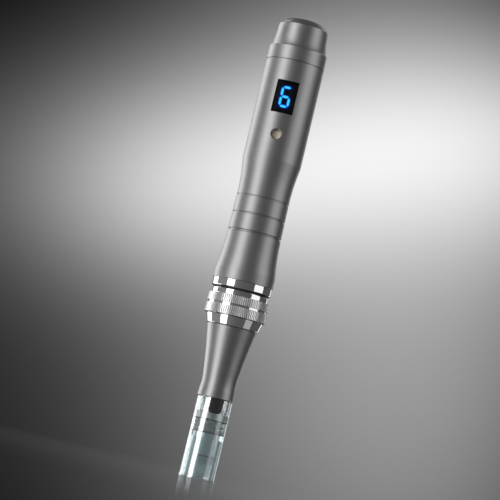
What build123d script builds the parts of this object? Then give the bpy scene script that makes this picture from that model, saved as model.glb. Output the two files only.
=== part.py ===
"""A cordless microneedling pen, standing on the open mouth of its needle cartridge.

The pen's axis is Z, the cartridge's mouth is at Z = 0, and the display and the power
button face -Y. All sizes are in millimetres.
"""

from build123d import *
import os
from math import cos, pi, radians, sin, sqrt

# Fits shared by many pieces

seat_gap = 0.03
running_gap = 0.08
sliding_gap = 0.15
free_gap = 0.3
cut_overrun = 2.0
edge_break = 0.12

# Strokes: the depth setting moves the nose, the cam moves the rod

depth_travel = 2.5
needle_stroke = 2.5

# Needle cartridge

shell_length = 18.6
shell_radius = 7.2
tip_bead_radius = 7.4
tip_bead_height = 0.7
tip_bead_blend = 0.6
mouth_edge = 0.3
socket_length = 14.2
socket_top_edge = 0.25
socket_wall = 0.6
socket_cavity_height = 5.3
guide_web_height = 2.1

plate_height = 2.9
plate_radius = 4.85
needle_hide = 0.4
needle_length = 6.6
needle_radius = 0.12
needle_point_length = 1.0
needle_tip_radius = 0.02
needle_root = 0.6
needle_ring_pitch = 1.15
needle_rings = 3
needles_per_ring_step = 6
plate_seal_height = 0.45
plate_seal_radius = 5.25
stem_radius = 3.2
head_radius = 4.2
head_height = 1.6
bellows_folds = 2
bellows_web = 1.1
bellows_inner_gap = 0.25

# Cartridge mount in the end of the nose

mount_radius = 5.1
mount_length = 5.8
mount_step_height = 2.4
mount_step_depth = 0.45
mount_stem_radius = 5.6
mount_stem_length = 11.0
mount_bore_radius = 2.6
o_ring_section = 0.35
o_ring_setback = 0.75
key_width = 5.2
key_length = 6.1
key_corner = 1.5
key_back_gap = 0.1
key_turn = 14.0
lower_bush_length = 7.0
lower_bush_setback = 8.5

# Nose

nose_seat_gap = 0.1
lip_length = 2.9
lip_radius = 7.45
lip_top_radius = 7.3
neck_radius = 7.05
neck_rise = 2.9
nose_length = 29.3
nose_rim_chamfer = 0.4
nose_top_wall = 0.74
plug_seat_wall = 2.3
nose_cavity_length = 12.5
nose_collar_length = 3.75
nose_collar_low_wall = 1.17
nose_collar_high_wall = 2.17
plug_length = 4.7
plug_wall = 1.2
sleeve_floor = 1.7

# Depth ring

ring_gap = 0.3
lower_band_length = 3.8
band_groove_length = 0.9
upper_band_length = 3.3
bead_length = 2.3
bead_round = 0.45
bead_round_drop = 0.3
ring_wall = 1.86
bead_wall = 0.86
band_groove_depth = 0.6
knurl_count = 150
knurl_depth = 0.22
snap_ring_section = 0.7
snap_ring_grip = 0.35
snap_groove_setback = 1.5

# Front collar on the handle

seal_slot = 0.8
front_collar_length = 3.1
front_collar_wall = 1.6
front_collar_bevel = 0.15
front_collar_bevel_height = 0.2
neck_wall = 1.0
collar_spigot_length = 6.0
guide_pin_radius = 0.8
guide_pin_rise = 1.5
guide_pin_reach = 0.55
sleeve_end_margin = 0.7

# Drive: cam, yoke, rod and their frame

rod_radius = 1.5
rod_tip_radius = 2.2
rod_tip_length = 2.8
rod_tip_gap = 0.1
bush_wall = 1.0
cam_radius = 3.2
cam_length = 8.5
cam_groove_depth = 1.2
cam_end_margin = 1.6
follower_pin_radius = 0.8
follower_pin_length = 3.6
groove_gap = 0.1
yoke_wall = 1.0
yoke_floor = 2.0
yoke_floor_gap = 2.0
frame_wall = 3.65
frame_floor = 2.0
frame_flange_height = 2.0
frame_below_yoke = 4.7
sleeve_wall = 1.2
frame_head_gap = 1.7

# Motor

shaft_radius = 1.0
motor_radius = 7.75
motor_length = 25.0
motor_wall = 0.7
motor_floor = 1.4
motor_boss_radius = 3.0
motor_boss_height = 1.5
armature_gap = 0.42
armature_length = 16.0
magnet_thickness = 1.2
end_bell_height = 2.4
shaft_tail = 1.2
damper_thickness = 1.5
damper_length = 16.0
motor_screw_radius = 0.8
motor_screw_head_radius = 1.3
motor_screw_head_height = 0.9
motor_screw_length = 4.2
motor_screw_spacing = 12.7
screw_channel_gap = 0.1
terminal_width = 1.6
terminal_height = 2.2
terminal_thickness = 0.4

# Battery, cradle and circuit board

battery_radius = 6.5
battery_length = 36.4
contact_thickness = 0.4
contact_radius = 5.2
cradle_wall = 0.84
cradle_floor = 2.2
cradle_foot_length = 8.6
cradle_foot_wall = 1.6
bulkhead_gap = 1.6
board_setback = 3.6
board_thickness = 1.0
board_width = 17.0
board_length = 34.0
battery_board_gap = 0.5
board_screw_radius = 0.7
board_screw_head_radius = 1.2
board_screw_head_height = 0.8
board_screw_length = 4.0
board_screw_inset = 2.4
board_screw_margin = 0.4
lead_radius = 0.5
lead_bend = 1.8
lead_spread = 3.1
lead_rise = 4.0
socket_lead_spread = 1.7

# Barrel

barrel_wall = 1.2
waist_wall = 1.2
land_wall = 1.86
land_length = 4.2
shoulder_length = 4.0
shoulder_drop = 0.55
grip_groove_count = 3
grip_groove_pitch = 7.2
grip_groove_floor = 0.4
grip_groove_mouth = 0.8
grip_groove_depth = 0.35
grip_groove_rise = 16.05

# Display

window_width = 8.95
window_height = 13.45
window_setback = 8.59
window_corner = 0.35
window_recess = 0.12
lens_thickness = 0.9
display_depth_gap = 0.15
digit_width = 4.45
digit_height = 8.9
digit_rise = 0.2
segment_width = 1.1
segment_gap = 0.3
segment_relief = 0.12

# Power button

button_setback = 24.0
button_hole_radius = 2.3
button_radius = 1.74
button_recess = 3.0
button_crown = 0.12
button_stem_radius = 1.2
button_flange_radius = 2.6
button_flange_height = 0.6
button_travel = 0.35
guide_radius = 3.3
guide_length = 2.9
guide_step = 0.15
switch_size = 4.2
switch_height = 1.6
switch_plunger_radius = 0.9
switch_plunger_height = 0.5

# Tail cap and charging socket

seam_gap = 0.25
seam_depth = 0.35
band_length = 5.8
band_bevel = 0.25
flank_length = 9.45
rim_radius = 10.17
rim_chamfer = 0.5
dome_height = 3.0
dome_flat_width = 0.5
cap_wall = 1.3
throat_wall = 2.6
cap_spigot_length = 3.5
cap_spigot_wall = 1.1
socket_flange_radius = 4.3
socket_flange_height = 1.0
socket_flange_edge = 0.3
socket_depth = 9.0
socket_body_length = 12.0
jack_bore_radius = 1.85
jack_pin_radius = 0.6
jack_pin_setback = 1.0
socket_roof = 1.4
socket_nut_height = 1.6
socket_nut_width = 8.4
socket_thread_radius = 3.3

# Heights along the axis, tip first

shell_top = shell_length
socket_top = shell_top + socket_length
nose_bottom = socket_top + nose_seat_gap
nose_top = nose_bottom + nose_length
nose_collar_top = nose_top + nose_collar_length
ring_bottom = nose_collar_top + ring_gap
lower_band_top = ring_bottom + lower_band_length
upper_band_bottom = lower_band_top + band_groove_length
upper_band_top = upper_band_bottom + upper_band_length
ring_top = upper_band_top + bead_length
collar_bottom = ring_top + seal_slot
barrel_bottom = collar_bottom + front_collar_length
collar_spigot_top = barrel_bottom + collar_spigot_length
pin_z = barrel_bottom + guide_pin_rise
sleeve_top = pin_z + guide_pin_radius + depth_travel + sleeve_end_margin
frame_top = collar_spigot_top + frame_head_gap + frame_flange_height
motor_bottom = frame_top
motor_top = motor_bottom + motor_length
end_bell_top = motor_top + end_bell_height
cradle_bottom = end_bell_top + shaft_tail + bulkhead_gap
cradle_step = cradle_bottom + cradle_foot_length
battery_bottom = cradle_step + cradle_floor + contact_thickness
battery_top = battery_bottom + battery_length
board_bottom = cradle_step + cradle_floor
board_top = board_bottom + board_length
window_z = board_top - window_setback
button_z = board_top - button_setback
cradle_top = battery_top + contact_thickness + seat_gap
stack_top = max(cradle_top, board_top + seat_gap)
barrel_top = stack_top + cap_spigot_length + seat_gap
cap_bottom = barrel_top + seam_gap
band_top = cap_bottom + band_length
rim_height = band_top + flank_length
cap_top = rim_height + dome_height

# Radii, axis first

yoke_bore_radius = cam_radius + sliding_gap
yoke_radius = yoke_bore_radius + yoke_wall
frame_bore_radius = yoke_radius + running_gap
frame_radius = frame_bore_radius + frame_wall
sleeve_bore_radius = frame_radius + sliding_gap
sleeve_radius = sleeve_bore_radius + sleeve_wall
collar_bore_radius = sleeve_radius + running_gap
ring_neck_radius = collar_bore_radius + neck_wall
ring_bore_radius = ring_neck_radius + running_gap
ring_radius = ring_bore_radius + ring_wall
bead_radius = ring_bore_radius + bead_wall
front_collar_radius = ring_neck_radius + front_collar_wall
land_radius = ring_neck_radius + seat_gap + land_wall
nose_collar_low_radius = sleeve_radius + nose_collar_low_wall
nose_collar_high_radius = sleeve_radius + nose_collar_high_wall
nose_top_radius = sleeve_radius + nose_top_wall
plug_radius = nose_top_radius - plug_seat_wall
magnet_bore_radius = motor_radius - motor_wall - seat_gap - magnet_thickness
armature_radius = magnet_bore_radius - armature_gap
waist_bore_radius = motor_radius + damper_thickness + seat_gap
waist_radius = waist_bore_radius + waist_wall + grip_groove_depth
battery_y = battery_radius + battery_board_gap - board_setback
cradle_radius = battery_y + battery_radius + seat_gap + cradle_wall
barrel_bore_radius = cradle_radius + seat_gap
barrel_radius = barrel_bore_radius + barrel_wall
shoulder_radius = barrel_radius - shoulder_drop
socket_bore_radius = mount_radius + sliding_gap
shell_bore_radius = plate_seal_radius + running_gap
groove_floor_radius = waist_radius - grip_groove_depth

# Places of the drive

cam_top = frame_top - frame_flange_height - seat_gap
cam_bottom = cam_top - cam_length
pin_height = cam_top - cam_end_margin - follower_pin_radius
yoke_floor_top = cam_bottom - yoke_floor_gap
yoke_bottom = yoke_floor_top - yoke_floor
frame_bottom = yoke_bottom - frame_below_yoke - needle_stroke - frame_floor
plate_bottom = needle_hide + needle_length - needle_root
plate_top = plate_bottom + plate_height
head_top = shell_top + socket_cavity_height + needle_hide
rod_bottom = head_top + rod_tip_gap
mount_bottom = nose_bottom - mount_length


os.makedirs("parts", exist_ok=True)


# Cartridge shell: the clear lower tube with its open mouth and the web that guides the stem

with BuildPart() as cartridge_shell:
    with BuildSketch(Plane.XZ):
        with BuildLine():
            Polyline(
                (shell_bore_radius + mouth_edge, 0),
                (tip_bead_radius, 0),
                (tip_bead_radius, tip_bead_height),
                (shell_radius, tip_bead_height + tip_bead_blend),
                (shell_radius, shell_top),
                (stem_radius + running_gap, shell_top),
                (stem_radius + running_gap, shell_top - guide_web_height),
                (shell_bore_radius, shell_top - guide_web_height),
                (shell_bore_radius, mouth_edge),
                close=True,
            )
        make_face()
    revolve(axis=Axis.Z)
cartridge_shell.part.label = "cartridge_shell"
export_step(cartridge_shell.part, "parts/cartridge_shell.step")


# Cartridge socket: the clear upper tube that slips over the mount, with one open key slot

with BuildPart() as cartridge_socket:
    with BuildSketch(Plane.XZ):
        with BuildLine():
            Polyline(
                (shell_radius - socket_wall, shell_top + seat_gap),
                (shell_radius, shell_top + seat_gap),
                (shell_radius, socket_top - socket_top_edge),
                (shell_radius - socket_top_edge, socket_top),
                (socket_bore_radius, socket_top),
                (socket_bore_radius, shell_top + socket_cavity_height),
                (shell_radius - socket_wall, shell_top + socket_cavity_height),
                close=True,
            )
        make_face()
    revolve(axis=Axis.Z)
    slot_plane = Plane(
        origin=(0, 0, socket_top),
        x_dir=(cos(radians(key_turn)), sin(radians(key_turn)), 0),
        z_dir=(sin(radians(key_turn)), -cos(radians(key_turn)), 0),
    )
    slot_half = key_width / 2 + sliding_gap
    slot_depth = key_length + sliding_gap
    with BuildSketch(slot_plane):
        with Locations((0, (cut_overrun - slot_depth) / 2)):
            RectangleRounded(
                2 * slot_half, slot_depth + cut_overrun, key_corner + sliding_gap
            )
    extrude(amount=shell_radius + cut_overrun, mode=Mode.SUBTRACT)
cartridge_socket.part.label = "cartridge_socket"
export_step(cartridge_socket.part, "parts/cartridge_socket.step")


# Return bellows: a folded silicone spring between the web and the carrier's head

with BuildPart() as return_bellows:
    bellows_bottom = shell_top + seat_gap
    bellows_top = head_top - head_height - seat_gap
    fold_inner = stem_radius + bellows_inner_gap
    fold_outer = shell_radius - socket_wall - bellows_inner_gap - bellows_web
    leg_height = (bellows_top - bellows_bottom) / (2 * bellows_folds)
    fold_points = [
        (fold_outer if leg % 2 else fold_inner, bellows_bottom + leg * leg_height)
        for leg in range(2 * bellows_folds + 1)
    ]
    with BuildSketch(Plane.XZ):
        with BuildLine():
            Polyline(
                *fold_points,
                *[(r + bellows_web, z) for r, z in reversed(fold_points)],
                close=True,
            )
        make_face()
    revolve(axis=Axis.Z)
return_bellows.part.label = "return_bellows"
export_step(return_bellows.part, "parts/return_bellows.step")


# Needle carrier: the plunger's stem with the head that the rod pushes

with BuildPart() as needle_carrier:
    with BuildSketch(Plane.XY.offset(plate_top + plate_seal_height)):
        Circle(stem_radius)
    extrude(amount=head_top - plate_top - plate_seal_height)
    with BuildSketch(Plane.XY.offset(head_top - head_height)):
        Circle(head_radius)
    extrude(amount=head_height)
    chamfer(needle_carrier.edges().group_by(Axis.Z)[-1], mouth_edge)
needle_carrier.part.label = "needle_carrier"
export_step(needle_carrier.part, "parts/needle_carrier.step")

with BuildPart() as needle_plate:
    with BuildSketch(Plane.XY.offset(plate_bottom)):
        Circle(plate_radius)
    extrude(amount=plate_height)
    needle_places = []
    for ring_number in range(1, needle_rings + 1):
        ring_count = needles_per_ring_step * ring_number
        for step in range(ring_count):
            turn = 2 * pi * step / ring_count
            reach = needle_ring_pitch * ring_number
            needle_places.append((reach * cos(turn), reach * sin(turn)))
    with Locations(Plane.XY.offset(plate_bottom)):
        with Locations(*needle_places):
            Cylinder(
                needle_radius,
                needle_root,
                align=(Align.CENTER, Align.CENTER, Align.MIN),
                mode=Mode.SUBTRACT,
            )
needle_plate.part.label = "needle_plate"
export_step(needle_plate.part, "parts/needle_plate.step")

with BuildPart() as plate_seal:
    with BuildSketch(Plane.XY.offset(plate_top)):
        Circle(plate_seal_radius)
    extrude(amount=plate_seal_height)
plate_seal.part.label = "plate_seal"
export_step(plate_seal.part, "parts/plate_seal.step")

# Needles: rings of fine pins, pointed at the mouth

with BuildPart() as needles:
    with Locations(*[(x, y, needle_hide + needle_point_length) for x, y in needle_places]):
        Cylinder(
            needle_radius,
            needle_length - needle_point_length,
            align=(Align.CENTER, Align.CENTER, Align.MIN),
        )
    with Locations(*[(x, y, needle_hide) for x, y in needle_places]):
        Cone(
            needle_tip_radius,
            needle_radius,
            needle_point_length,
            align=(Align.CENTER, Align.CENTER, Align.MIN),
        )
needles.part.label = "needles"
export_step(needles.part, "parts/needles.step")


# Cartridge mount: the steel spigot in the end of the nose, stepped for the cartridge

with BuildPart() as cartridge_mount:
    o_ring_height = nose_bottom - o_ring_setback
    o_ring_floor = socket_bore_radius - 2 * (o_ring_section + seat_gap)
    o_ring_half = o_ring_section + seat_gap
    with BuildSketch(Plane.XZ):
        with BuildLine():
            Polyline(
                (mount_bore_radius, mount_bottom),
                (mount_radius - mount_step_depth, mount_bottom),
                (mount_radius - mount_step_depth, mount_bottom + mount_step_height),
                (mount_radius, mount_bottom + mount_step_height),
                (mount_radius, o_ring_height - o_ring_half),
                (o_ring_floor, o_ring_height - o_ring_half),
                (o_ring_floor, o_ring_height + o_ring_half),
                (mount_radius, o_ring_height + o_ring_half),
                (mount_radius, nose_bottom),
                (mount_stem_radius, nose_bottom),
                (mount_stem_radius, nose_bottom + mount_stem_length),
                (mount_bore_radius, nose_bottom + mount_stem_length),
                close=True,
            )
        make_face()
    revolve(axis=Axis.Z)
cartridge_mount.part.label = "cartridge_mount"
export_step(cartridge_mount.part, "parts/cartridge_mount.step")

with BuildPart() as mount_o_ring:
    with BuildSketch(Plane.XZ):
        with Locations((o_ring_floor + o_ring_half, o_ring_height)):
            Circle(o_ring_section)
    revolve(axis=Axis.Z)
mount_o_ring.part.label = "mount_o_ring"
export_step(mount_o_ring.part, "parts/mount_o_ring.step")

# Mount key: the black tongue that fills the cartridge's slot and stops it turning

with BuildPart() as mount_key:
    key_bottom = nose_bottom - key_length
    with BuildSketch(slot_plane):
        with Locations((0, key_bottom - socket_top + (key_length + cut_overrun) / 2)):
            RectangleRounded(key_width, key_length + cut_overrun, key_corner)
    extrude(amount=shell_radius)
    with BuildSketch(Plane.XY.offset(key_bottom)):
        Circle(shell_radius - socket_top_edge)
        Circle(socket_bore_radius + key_back_gap, mode=Mode.SUBTRACT)
    extrude(amount=key_length, mode=Mode.INTERSECT)
mount_key.part.label = "mount_key"
export_step(mount_key.part, "parts/mount_key.step")

with BuildPart() as lower_bush:
    with BuildSketch(Plane.XY.offset(mount_bottom + lower_bush_setback)):
        Circle(mount_bore_radius - seat_gap)
        Circle(rod_radius + running_gap, mode=Mode.SUBTRACT)
    extrude(amount=lower_bush_length)
lower_bush.part.label = "lower_bush"
export_step(lower_bush.part, "parts/lower_bush.step")


# Nose cone: the matt grip that narrows to a neck and a lip above the cartridge

with BuildPart() as nose_cone:
    lip_top = nose_bottom + lip_length
    cone_length = nose_top - lip_top
    rise_shares = (0.31, 0.57)
    swell_shares = (0.135, 0.42)
    cavity_bottom = nose_top - plug_length - nose_cavity_length
    stem_seat = mount_stem_radius + seat_gap
    with BuildSketch(Plane.XZ):
        with BuildLine():
            Polyline(
                (nose_top_radius - nose_rim_chamfer, nose_top),
                (plug_radius + seat_gap, nose_top),
                (plug_radius + seat_gap, nose_top - plug_length - seat_gap),
                (mount_stem_radius + seat_gap, cavity_bottom),
                (stem_seat, nose_bottom),
                (lip_radius - edge_break, nose_bottom),
                (lip_radius, nose_bottom + edge_break),
                (lip_top_radius, lip_top),
            )
            Spline(
                (lip_top_radius, lip_top),
                (neck_radius, lip_top + neck_rise),
                *[
                    (
                        neck_radius + swell * (nose_top_radius - neck_radius),
                        lip_top + rise * cone_length,
                    )
                    for rise, swell in zip(rise_shares, swell_shares)
                ],
                (nose_top_radius, nose_top - nose_rim_chamfer),
            )
            Line(
                (nose_top_radius, nose_top - nose_rim_chamfer),
                (nose_top_radius - nose_rim_chamfer, nose_top),
            )
        make_face()
    revolve(axis=Axis.Z)
nose_cone.part.label = "nose_cone"
export_step(nose_cone.part, "parts/nose_cone.step")


# Nose sleeve: the threaded tube that the depth ring drives along the axis

with BuildPart() as nose_sleeve:
    with BuildSketch(Plane.XZ):
        with BuildLine():
            Polyline(
                (plug_radius - plug_wall, nose_top - plug_length),
                (plug_radius, nose_top - plug_length),
                (plug_radius, nose_top),
                (sleeve_radius, nose_top),
                (sleeve_radius, sleeve_top),
                (sleeve_bore_radius, sleeve_top),
                (sleeve_bore_radius, nose_top + sleeve_floor),
                (plug_radius - plug_wall, nose_top + sleeve_floor),
                close=True,
            )
        make_face()
    revolve(axis=Axis.Z)
    slot_bottom = pin_z - guide_pin_radius - running_gap
    with BuildSketch(Plane.XY.offset(slot_bottom)):
        Rectangle(2 * (sleeve_radius + cut_overrun), 2 * (guide_pin_radius + running_gap))
    extrude(amount=sleeve_top - slot_bottom + cut_overrun, mode=Mode.SUBTRACT)
nose_sleeve.part.label = "nose_sleeve"
export_step(nose_sleeve.part, "parts/nose_sleeve.step")

with BuildPart() as nose_collar:
    with BuildSketch(Plane.XZ):
        with BuildLine():
            Polyline(
                (sleeve_radius + seat_gap, nose_top),
                (nose_collar_low_radius - edge_break, nose_top),
                (nose_collar_low_radius, nose_top + edge_break),
                (nose_collar_high_radius, nose_collar_top - edge_break),
                (nose_collar_high_radius - edge_break, nose_collar_top),
                (sleeve_radius + seat_gap, nose_collar_top),
                close=True,
            )
        make_face()
    revolve(axis=Axis.Z)
nose_collar.part.label = "nose_collar"
export_step(nose_collar.part, "parts/nose_collar.step")


# Depth ring: two knurled bands, a polished groove between them and a rounded bead on top


def knurled_outline(tip, root, count):
    """Corner points of a straight knurl seen along the axis."""
    outline = []
    for tooth in range(count):
        for radius, half_step in ((root, 0), (tip, 1)):
            turn = pi * (2 * tooth + half_step) / count
            outline.append((radius * cos(turn), radius * sin(turn)))
    return outline


with BuildPart() as depth_ring:
    knurl_points = knurled_outline(ring_radius, ring_radius - knurl_depth, knurl_count)
    for band_bottom, band_height in (
        (ring_bottom, lower_band_length),
        (upper_band_bottom, upper_band_length),
    ):
        with BuildSketch(Plane.XY.offset(band_bottom)):
            Polygon(*knurl_points, align=None)
        extrude(amount=band_height)
    with BuildSketch(Plane.XY.offset(lower_band_top)):
        Circle(ring_radius - band_groove_depth)
    extrude(amount=band_groove_length)
    with BuildSketch(Plane.XZ):
        with BuildLine():
            bead_base = upper_band_top
            bead_edge = bead_radius - bead_round_drop
            TangentArc(
                (bead_radius, bead_base + bead_round), (bead_edge, bead_base), tangent=(0, -1)
            )
            Line((bead_radius, bead_base + bead_round), (bead_radius, ring_top - bead_round))
            TangentArc(
                (bead_radius, ring_top - bead_round), (bead_edge, ring_top), tangent=(0, 1)
            )
            Polyline((bead_edge, ring_top), (0, ring_top), (0, bead_base), (bead_edge, bead_base))
        make_face()
    revolve(axis=Axis.Z)
    neck_end = upper_band_bottom + free_gap
    with BuildSketch(Plane.XY.offset(ring_bottom)):
        Circle(sleeve_radius + running_gap)
    extrude(amount=ring_top - ring_bottom, mode=Mode.SUBTRACT)
    with BuildSketch(Plane.XY.offset(upper_band_bottom)):
        Circle(ring_bore_radius)
    extrude(amount=ring_top - upper_band_bottom, mode=Mode.SUBTRACT)
    snap_height = upper_band_bottom + snap_groove_setback
    snap_half = snap_ring_section / 2
    with BuildSketch(Plane.XY.offset(snap_height - snap_half - running_gap)):
        Circle(ring_neck_radius + snap_ring_grip + running_gap)
    extrude(amount=snap_ring_section + 2 * running_gap, mode=Mode.SUBTRACT)
depth_ring.part.label = "depth_ring"
export_step(depth_ring.part, "parts/depth_ring.step")


# Front collar: the polished ring screwed into the barrel; the depth ring turns on its neck

with BuildPart() as front_collar:
    snap_floor = ring_neck_radius - snap_ring_grip
    with BuildSketch(Plane.XZ):
        with BuildLine():
            Polyline(
                (collar_bore_radius, neck_end),
                (ring_neck_radius, neck_end),
                (ring_neck_radius, snap_height - snap_half),
                (snap_floor, snap_height - snap_half),
                (snap_floor, snap_height + snap_half),
                (ring_neck_radius, snap_height + snap_half),
                (ring_neck_radius, collar_bottom),
                (front_collar_radius - front_collar_bevel, collar_bottom),
                (front_collar_radius, collar_bottom + front_collar_bevel_height),
                (front_collar_radius, barrel_bottom - edge_break),
                (front_collar_radius - edge_break, barrel_bottom),
                (ring_neck_radius, barrel_bottom),
                (ring_neck_radius, collar_spigot_top),
                (collar_bore_radius, collar_spigot_top),
                close=True,
            )
        make_face()
    revolve(axis=Axis.Z)
    with BuildSketch(Plane.YZ.offset(-ring_neck_radius - cut_overrun)):
        with Locations((0, pin_z)):
            Circle(guide_pin_radius)
    extrude(amount=2 * (ring_neck_radius + cut_overrun), mode=Mode.SUBTRACT)
front_collar.part.label = "front_collar"
export_step(front_collar.part, "parts/front_collar.step")

with BuildPart() as guide_pins:
    for side in (-1, 1):
        with BuildSketch(Plane.YZ.offset(side * (collar_bore_radius - guide_pin_reach))):
            with Locations((0, pin_z)):
                Circle(guide_pin_radius)
        extrude(amount=side * (neck_wall + guide_pin_reach - 2 * seat_gap))
guide_pins.part.label = "guide_pins"
export_step(guide_pins.part, "parts/guide_pins.step")

with BuildPart() as snap_ring:
    with BuildSketch(Plane.XY.offset(snap_height - snap_half + seat_gap)):
        Circle(ring_neck_radius + snap_ring_grip)
        Circle(snap_floor + seat_gap, mode=Mode.SUBTRACT)
        with Locations((0, ring_neck_radius)):
            Rectangle(2 * snap_ring_section, ring_neck_radius, mode=Mode.SUBTRACT)
    extrude(amount=snap_ring_section - 2 * seat_gap)
snap_ring.part.label = "snap_ring"
export_step(snap_ring.part, "parts/snap_ring.step")

with BuildPart() as friction_ring:
    friction_section = seal_slot / 2 - running_gap / 2
    with BuildSketch(Plane.XZ):
        with Locations((ring_neck_radius + seat_gap + friction_section, ring_top + seal_slot / 2)):
            Circle(friction_section)
    revolve(axis=Axis.Z)
friction_ring.part.label = "friction_ring"
export_step(friction_ring.part, "parts/friction_ring.step")


# Drive frame: the tube that guides the yoke, with a flange for the motor

with BuildPart() as drive_frame:
    bush_radius = rod_radius + running_gap + bush_wall
    flange_bottom_z = frame_top - frame_flange_height
    with BuildSketch(Plane.XZ):
        with BuildLine():
            Polyline(
                (bush_radius + seat_gap, frame_bottom),
                (frame_radius, frame_bottom),
                (frame_radius, flange_bottom_z),
                (waist_bore_radius - seat_gap, flange_bottom_z),
                (waist_bore_radius - seat_gap, frame_top),
                (motor_boss_radius + seat_gap, frame_top),
                (motor_boss_radius + seat_gap, flange_bottom_z),
                (frame_bore_radius, flange_bottom_z),
                (frame_bore_radius, frame_bottom + frame_floor),
                (bush_radius + seat_gap, frame_bottom + frame_floor),
                close=True,
            )
        make_face()
    revolve(axis=Axis.Z)
    pin_end = cam_radius - cam_groove_depth + groove_gap + follower_pin_length
    slot_low = pin_height - needle_stroke - follower_pin_radius - groove_gap
    with BuildSketch(Plane.YZ.offset(frame_bore_radius - yoke_wall)):
        with Locations((0, slot_low + (flange_bottom_z - slot_low) / 2)):
            Rectangle(2 * (follower_pin_radius + groove_gap), flange_bottom_z - slot_low)
    extrude(amount=pin_end - frame_bore_radius + yoke_wall + sliding_gap, mode=Mode.SUBTRACT)
    channel_half = motor_screw_head_radius + screw_channel_gap
    with BuildSketch(Plane.XY.offset(frame_bottom)):
        with Locations((0, -motor_screw_spacing / 2), (0, motor_screw_spacing / 2)):
            Circle(channel_half)
        with Locations((0, -frame_radius), (0, frame_radius)):
            Rectangle(2 * channel_half, 2 * frame_radius - motor_screw_spacing)
    extrude(amount=flange_bottom_z - frame_bottom, mode=Mode.SUBTRACT)
    with BuildSketch(Plane.XY.offset(flange_bottom_z)):
        with Locations((0, -motor_screw_spacing / 2), (0, motor_screw_spacing / 2)):
            Circle(motor_screw_radius + seat_gap)
    extrude(amount=frame_flange_height, mode=Mode.SUBTRACT)
drive_frame.part.label = "drive_frame"
export_step(drive_frame.part, "parts/drive_frame.step")

with BuildPart() as upper_bush:
    with BuildSketch(Plane.XY.offset(frame_bottom)):
        Circle(bush_radius)
        Circle(rod_radius + running_gap, mode=Mode.SUBTRACT)
    extrude(amount=frame_floor)
upper_bush.part.label = "upper_bush"
export_step(upper_bush.part, "parts/upper_bush.step")

with BuildPart() as motor_screws:
    with BuildSketch(Plane.XY.offset(flange_bottom_z)):
        with Locations((0, -motor_screw_spacing / 2), (0, motor_screw_spacing / 2)):
            Circle(motor_screw_radius)
    extrude(amount=motor_screw_length - motor_screw_head_height)
    with BuildSketch(Plane.XY.offset(flange_bottom_z - motor_screw_head_height)):
        with Locations((0, -motor_screw_spacing / 2), (0, motor_screw_spacing / 2)):
            Circle(motor_screw_head_radius)
    extrude(amount=motor_screw_head_height)
motor_screws.part.label = "motor_screws"
export_step(motor_screws.part, "parts/motor_screws.step")


# Barrel cam: its groove falls by one stroke over half a turn and climbs back over the other

with BuildPart() as barrel_cam:
    groove_radius = cam_radius - cam_groove_depth / 2
    with BuildSketch(Plane.XY.offset(cam_bottom)):
        Circle(cam_radius)
        Circle(shaft_radius + seat_gap, mode=Mode.SUBTRACT)
    extrude(amount=cam_length)
    with BuildPart(mode=Mode.PRIVATE) as half_groove:
        with BuildLine():
            track = Helix(
                pitch=2 * needle_stroke,
                height=needle_stroke,
                radius=groove_radius,
                center=(0, 0, pin_height - needle_stroke),
            )
        groove_plane = Plane(origin=track @ 0, x_dir=(1, 0, 0), z_dir=track % 0)
        with BuildSketch(groove_plane):
            with Locations((cut_overrun / 2, 0)):
                Rectangle(cam_groove_depth + cut_overrun, 2 * (follower_pin_radius + groove_gap))
        sweep(path=track, is_frenet=True)
    add(half_groove.part.rotate(Axis.Z, 180), mode=Mode.SUBTRACT)
    add(half_groove.part.rotate(Axis.Z, 180).mirror(Plane.XZ), mode=Mode.SUBTRACT)
    for side, height in ((1, pin_height), (-1, pin_height - needle_stroke)):
        with BuildSketch(Plane.YZ.offset(side * (cam_radius - cam_groove_depth))):
            with Locations((0, height)):
                Circle(follower_pin_radius + groove_gap)
        extrude(amount=side * (cam_groove_depth + cut_overrun), mode=Mode.SUBTRACT)
barrel_cam.part.label = "barrel_cam"
export_step(barrel_cam.part, "parts/barrel_cam.step")

with BuildPart() as motor_shaft:
    with BuildSketch(Plane.XY.offset(cam_bottom)):
        Circle(shaft_radius)
    extrude(amount=end_bell_top + shaft_tail - cam_bottom)
motor_shaft.part.label = "motor_shaft"
export_step(motor_shaft.part, "parts/motor_shaft.step")

with BuildPart() as armature:
    armature_bottom = motor_bottom + (motor_length - armature_length) / 2
    with BuildSketch(Plane.XY.offset(armature_bottom)):
        Circle(armature_radius)
        Circle(shaft_radius + seat_gap, mode=Mode.SUBTRACT)
        with PolarLocations(armature_radius, 3):
            Rectangle(armature_radius, motor_wall, mode=Mode.SUBTRACT)
    extrude(amount=armature_length)
armature.part.label = "armature"
export_step(armature.part, "parts/armature.step")


# Motor: a drawn steel can, its magnets and the plastic end bell with two terminals

with BuildPart() as motor_can:
    with BuildSketch(Plane.XZ):
        with BuildLine():
            Polyline(
                (shaft_radius + running_gap, motor_bottom - motor_boss_height),
                (motor_boss_radius, motor_bottom - motor_boss_height),
                (motor_boss_radius, motor_bottom),
                (motor_radius, motor_bottom),
                (motor_radius, motor_top),
                (motor_radius - motor_wall, motor_top),
                (motor_radius - motor_wall, motor_bottom + motor_floor),
                (shaft_radius + running_gap, motor_bottom + motor_floor),
                close=True,
            )
        make_face()
    revolve(axis=Axis.Z)
    with BuildSketch(Plane.XY.offset(motor_bottom)):
        with Locations((0, -motor_screw_spacing / 2), (0, motor_screw_spacing / 2)):
            Circle(motor_screw_radius + seat_gap)
    extrude(amount=motor_floor, mode=Mode.SUBTRACT)
motor_can.part.label = "motor_can"
export_step(motor_can.part, "parts/motor_can.step")

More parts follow.
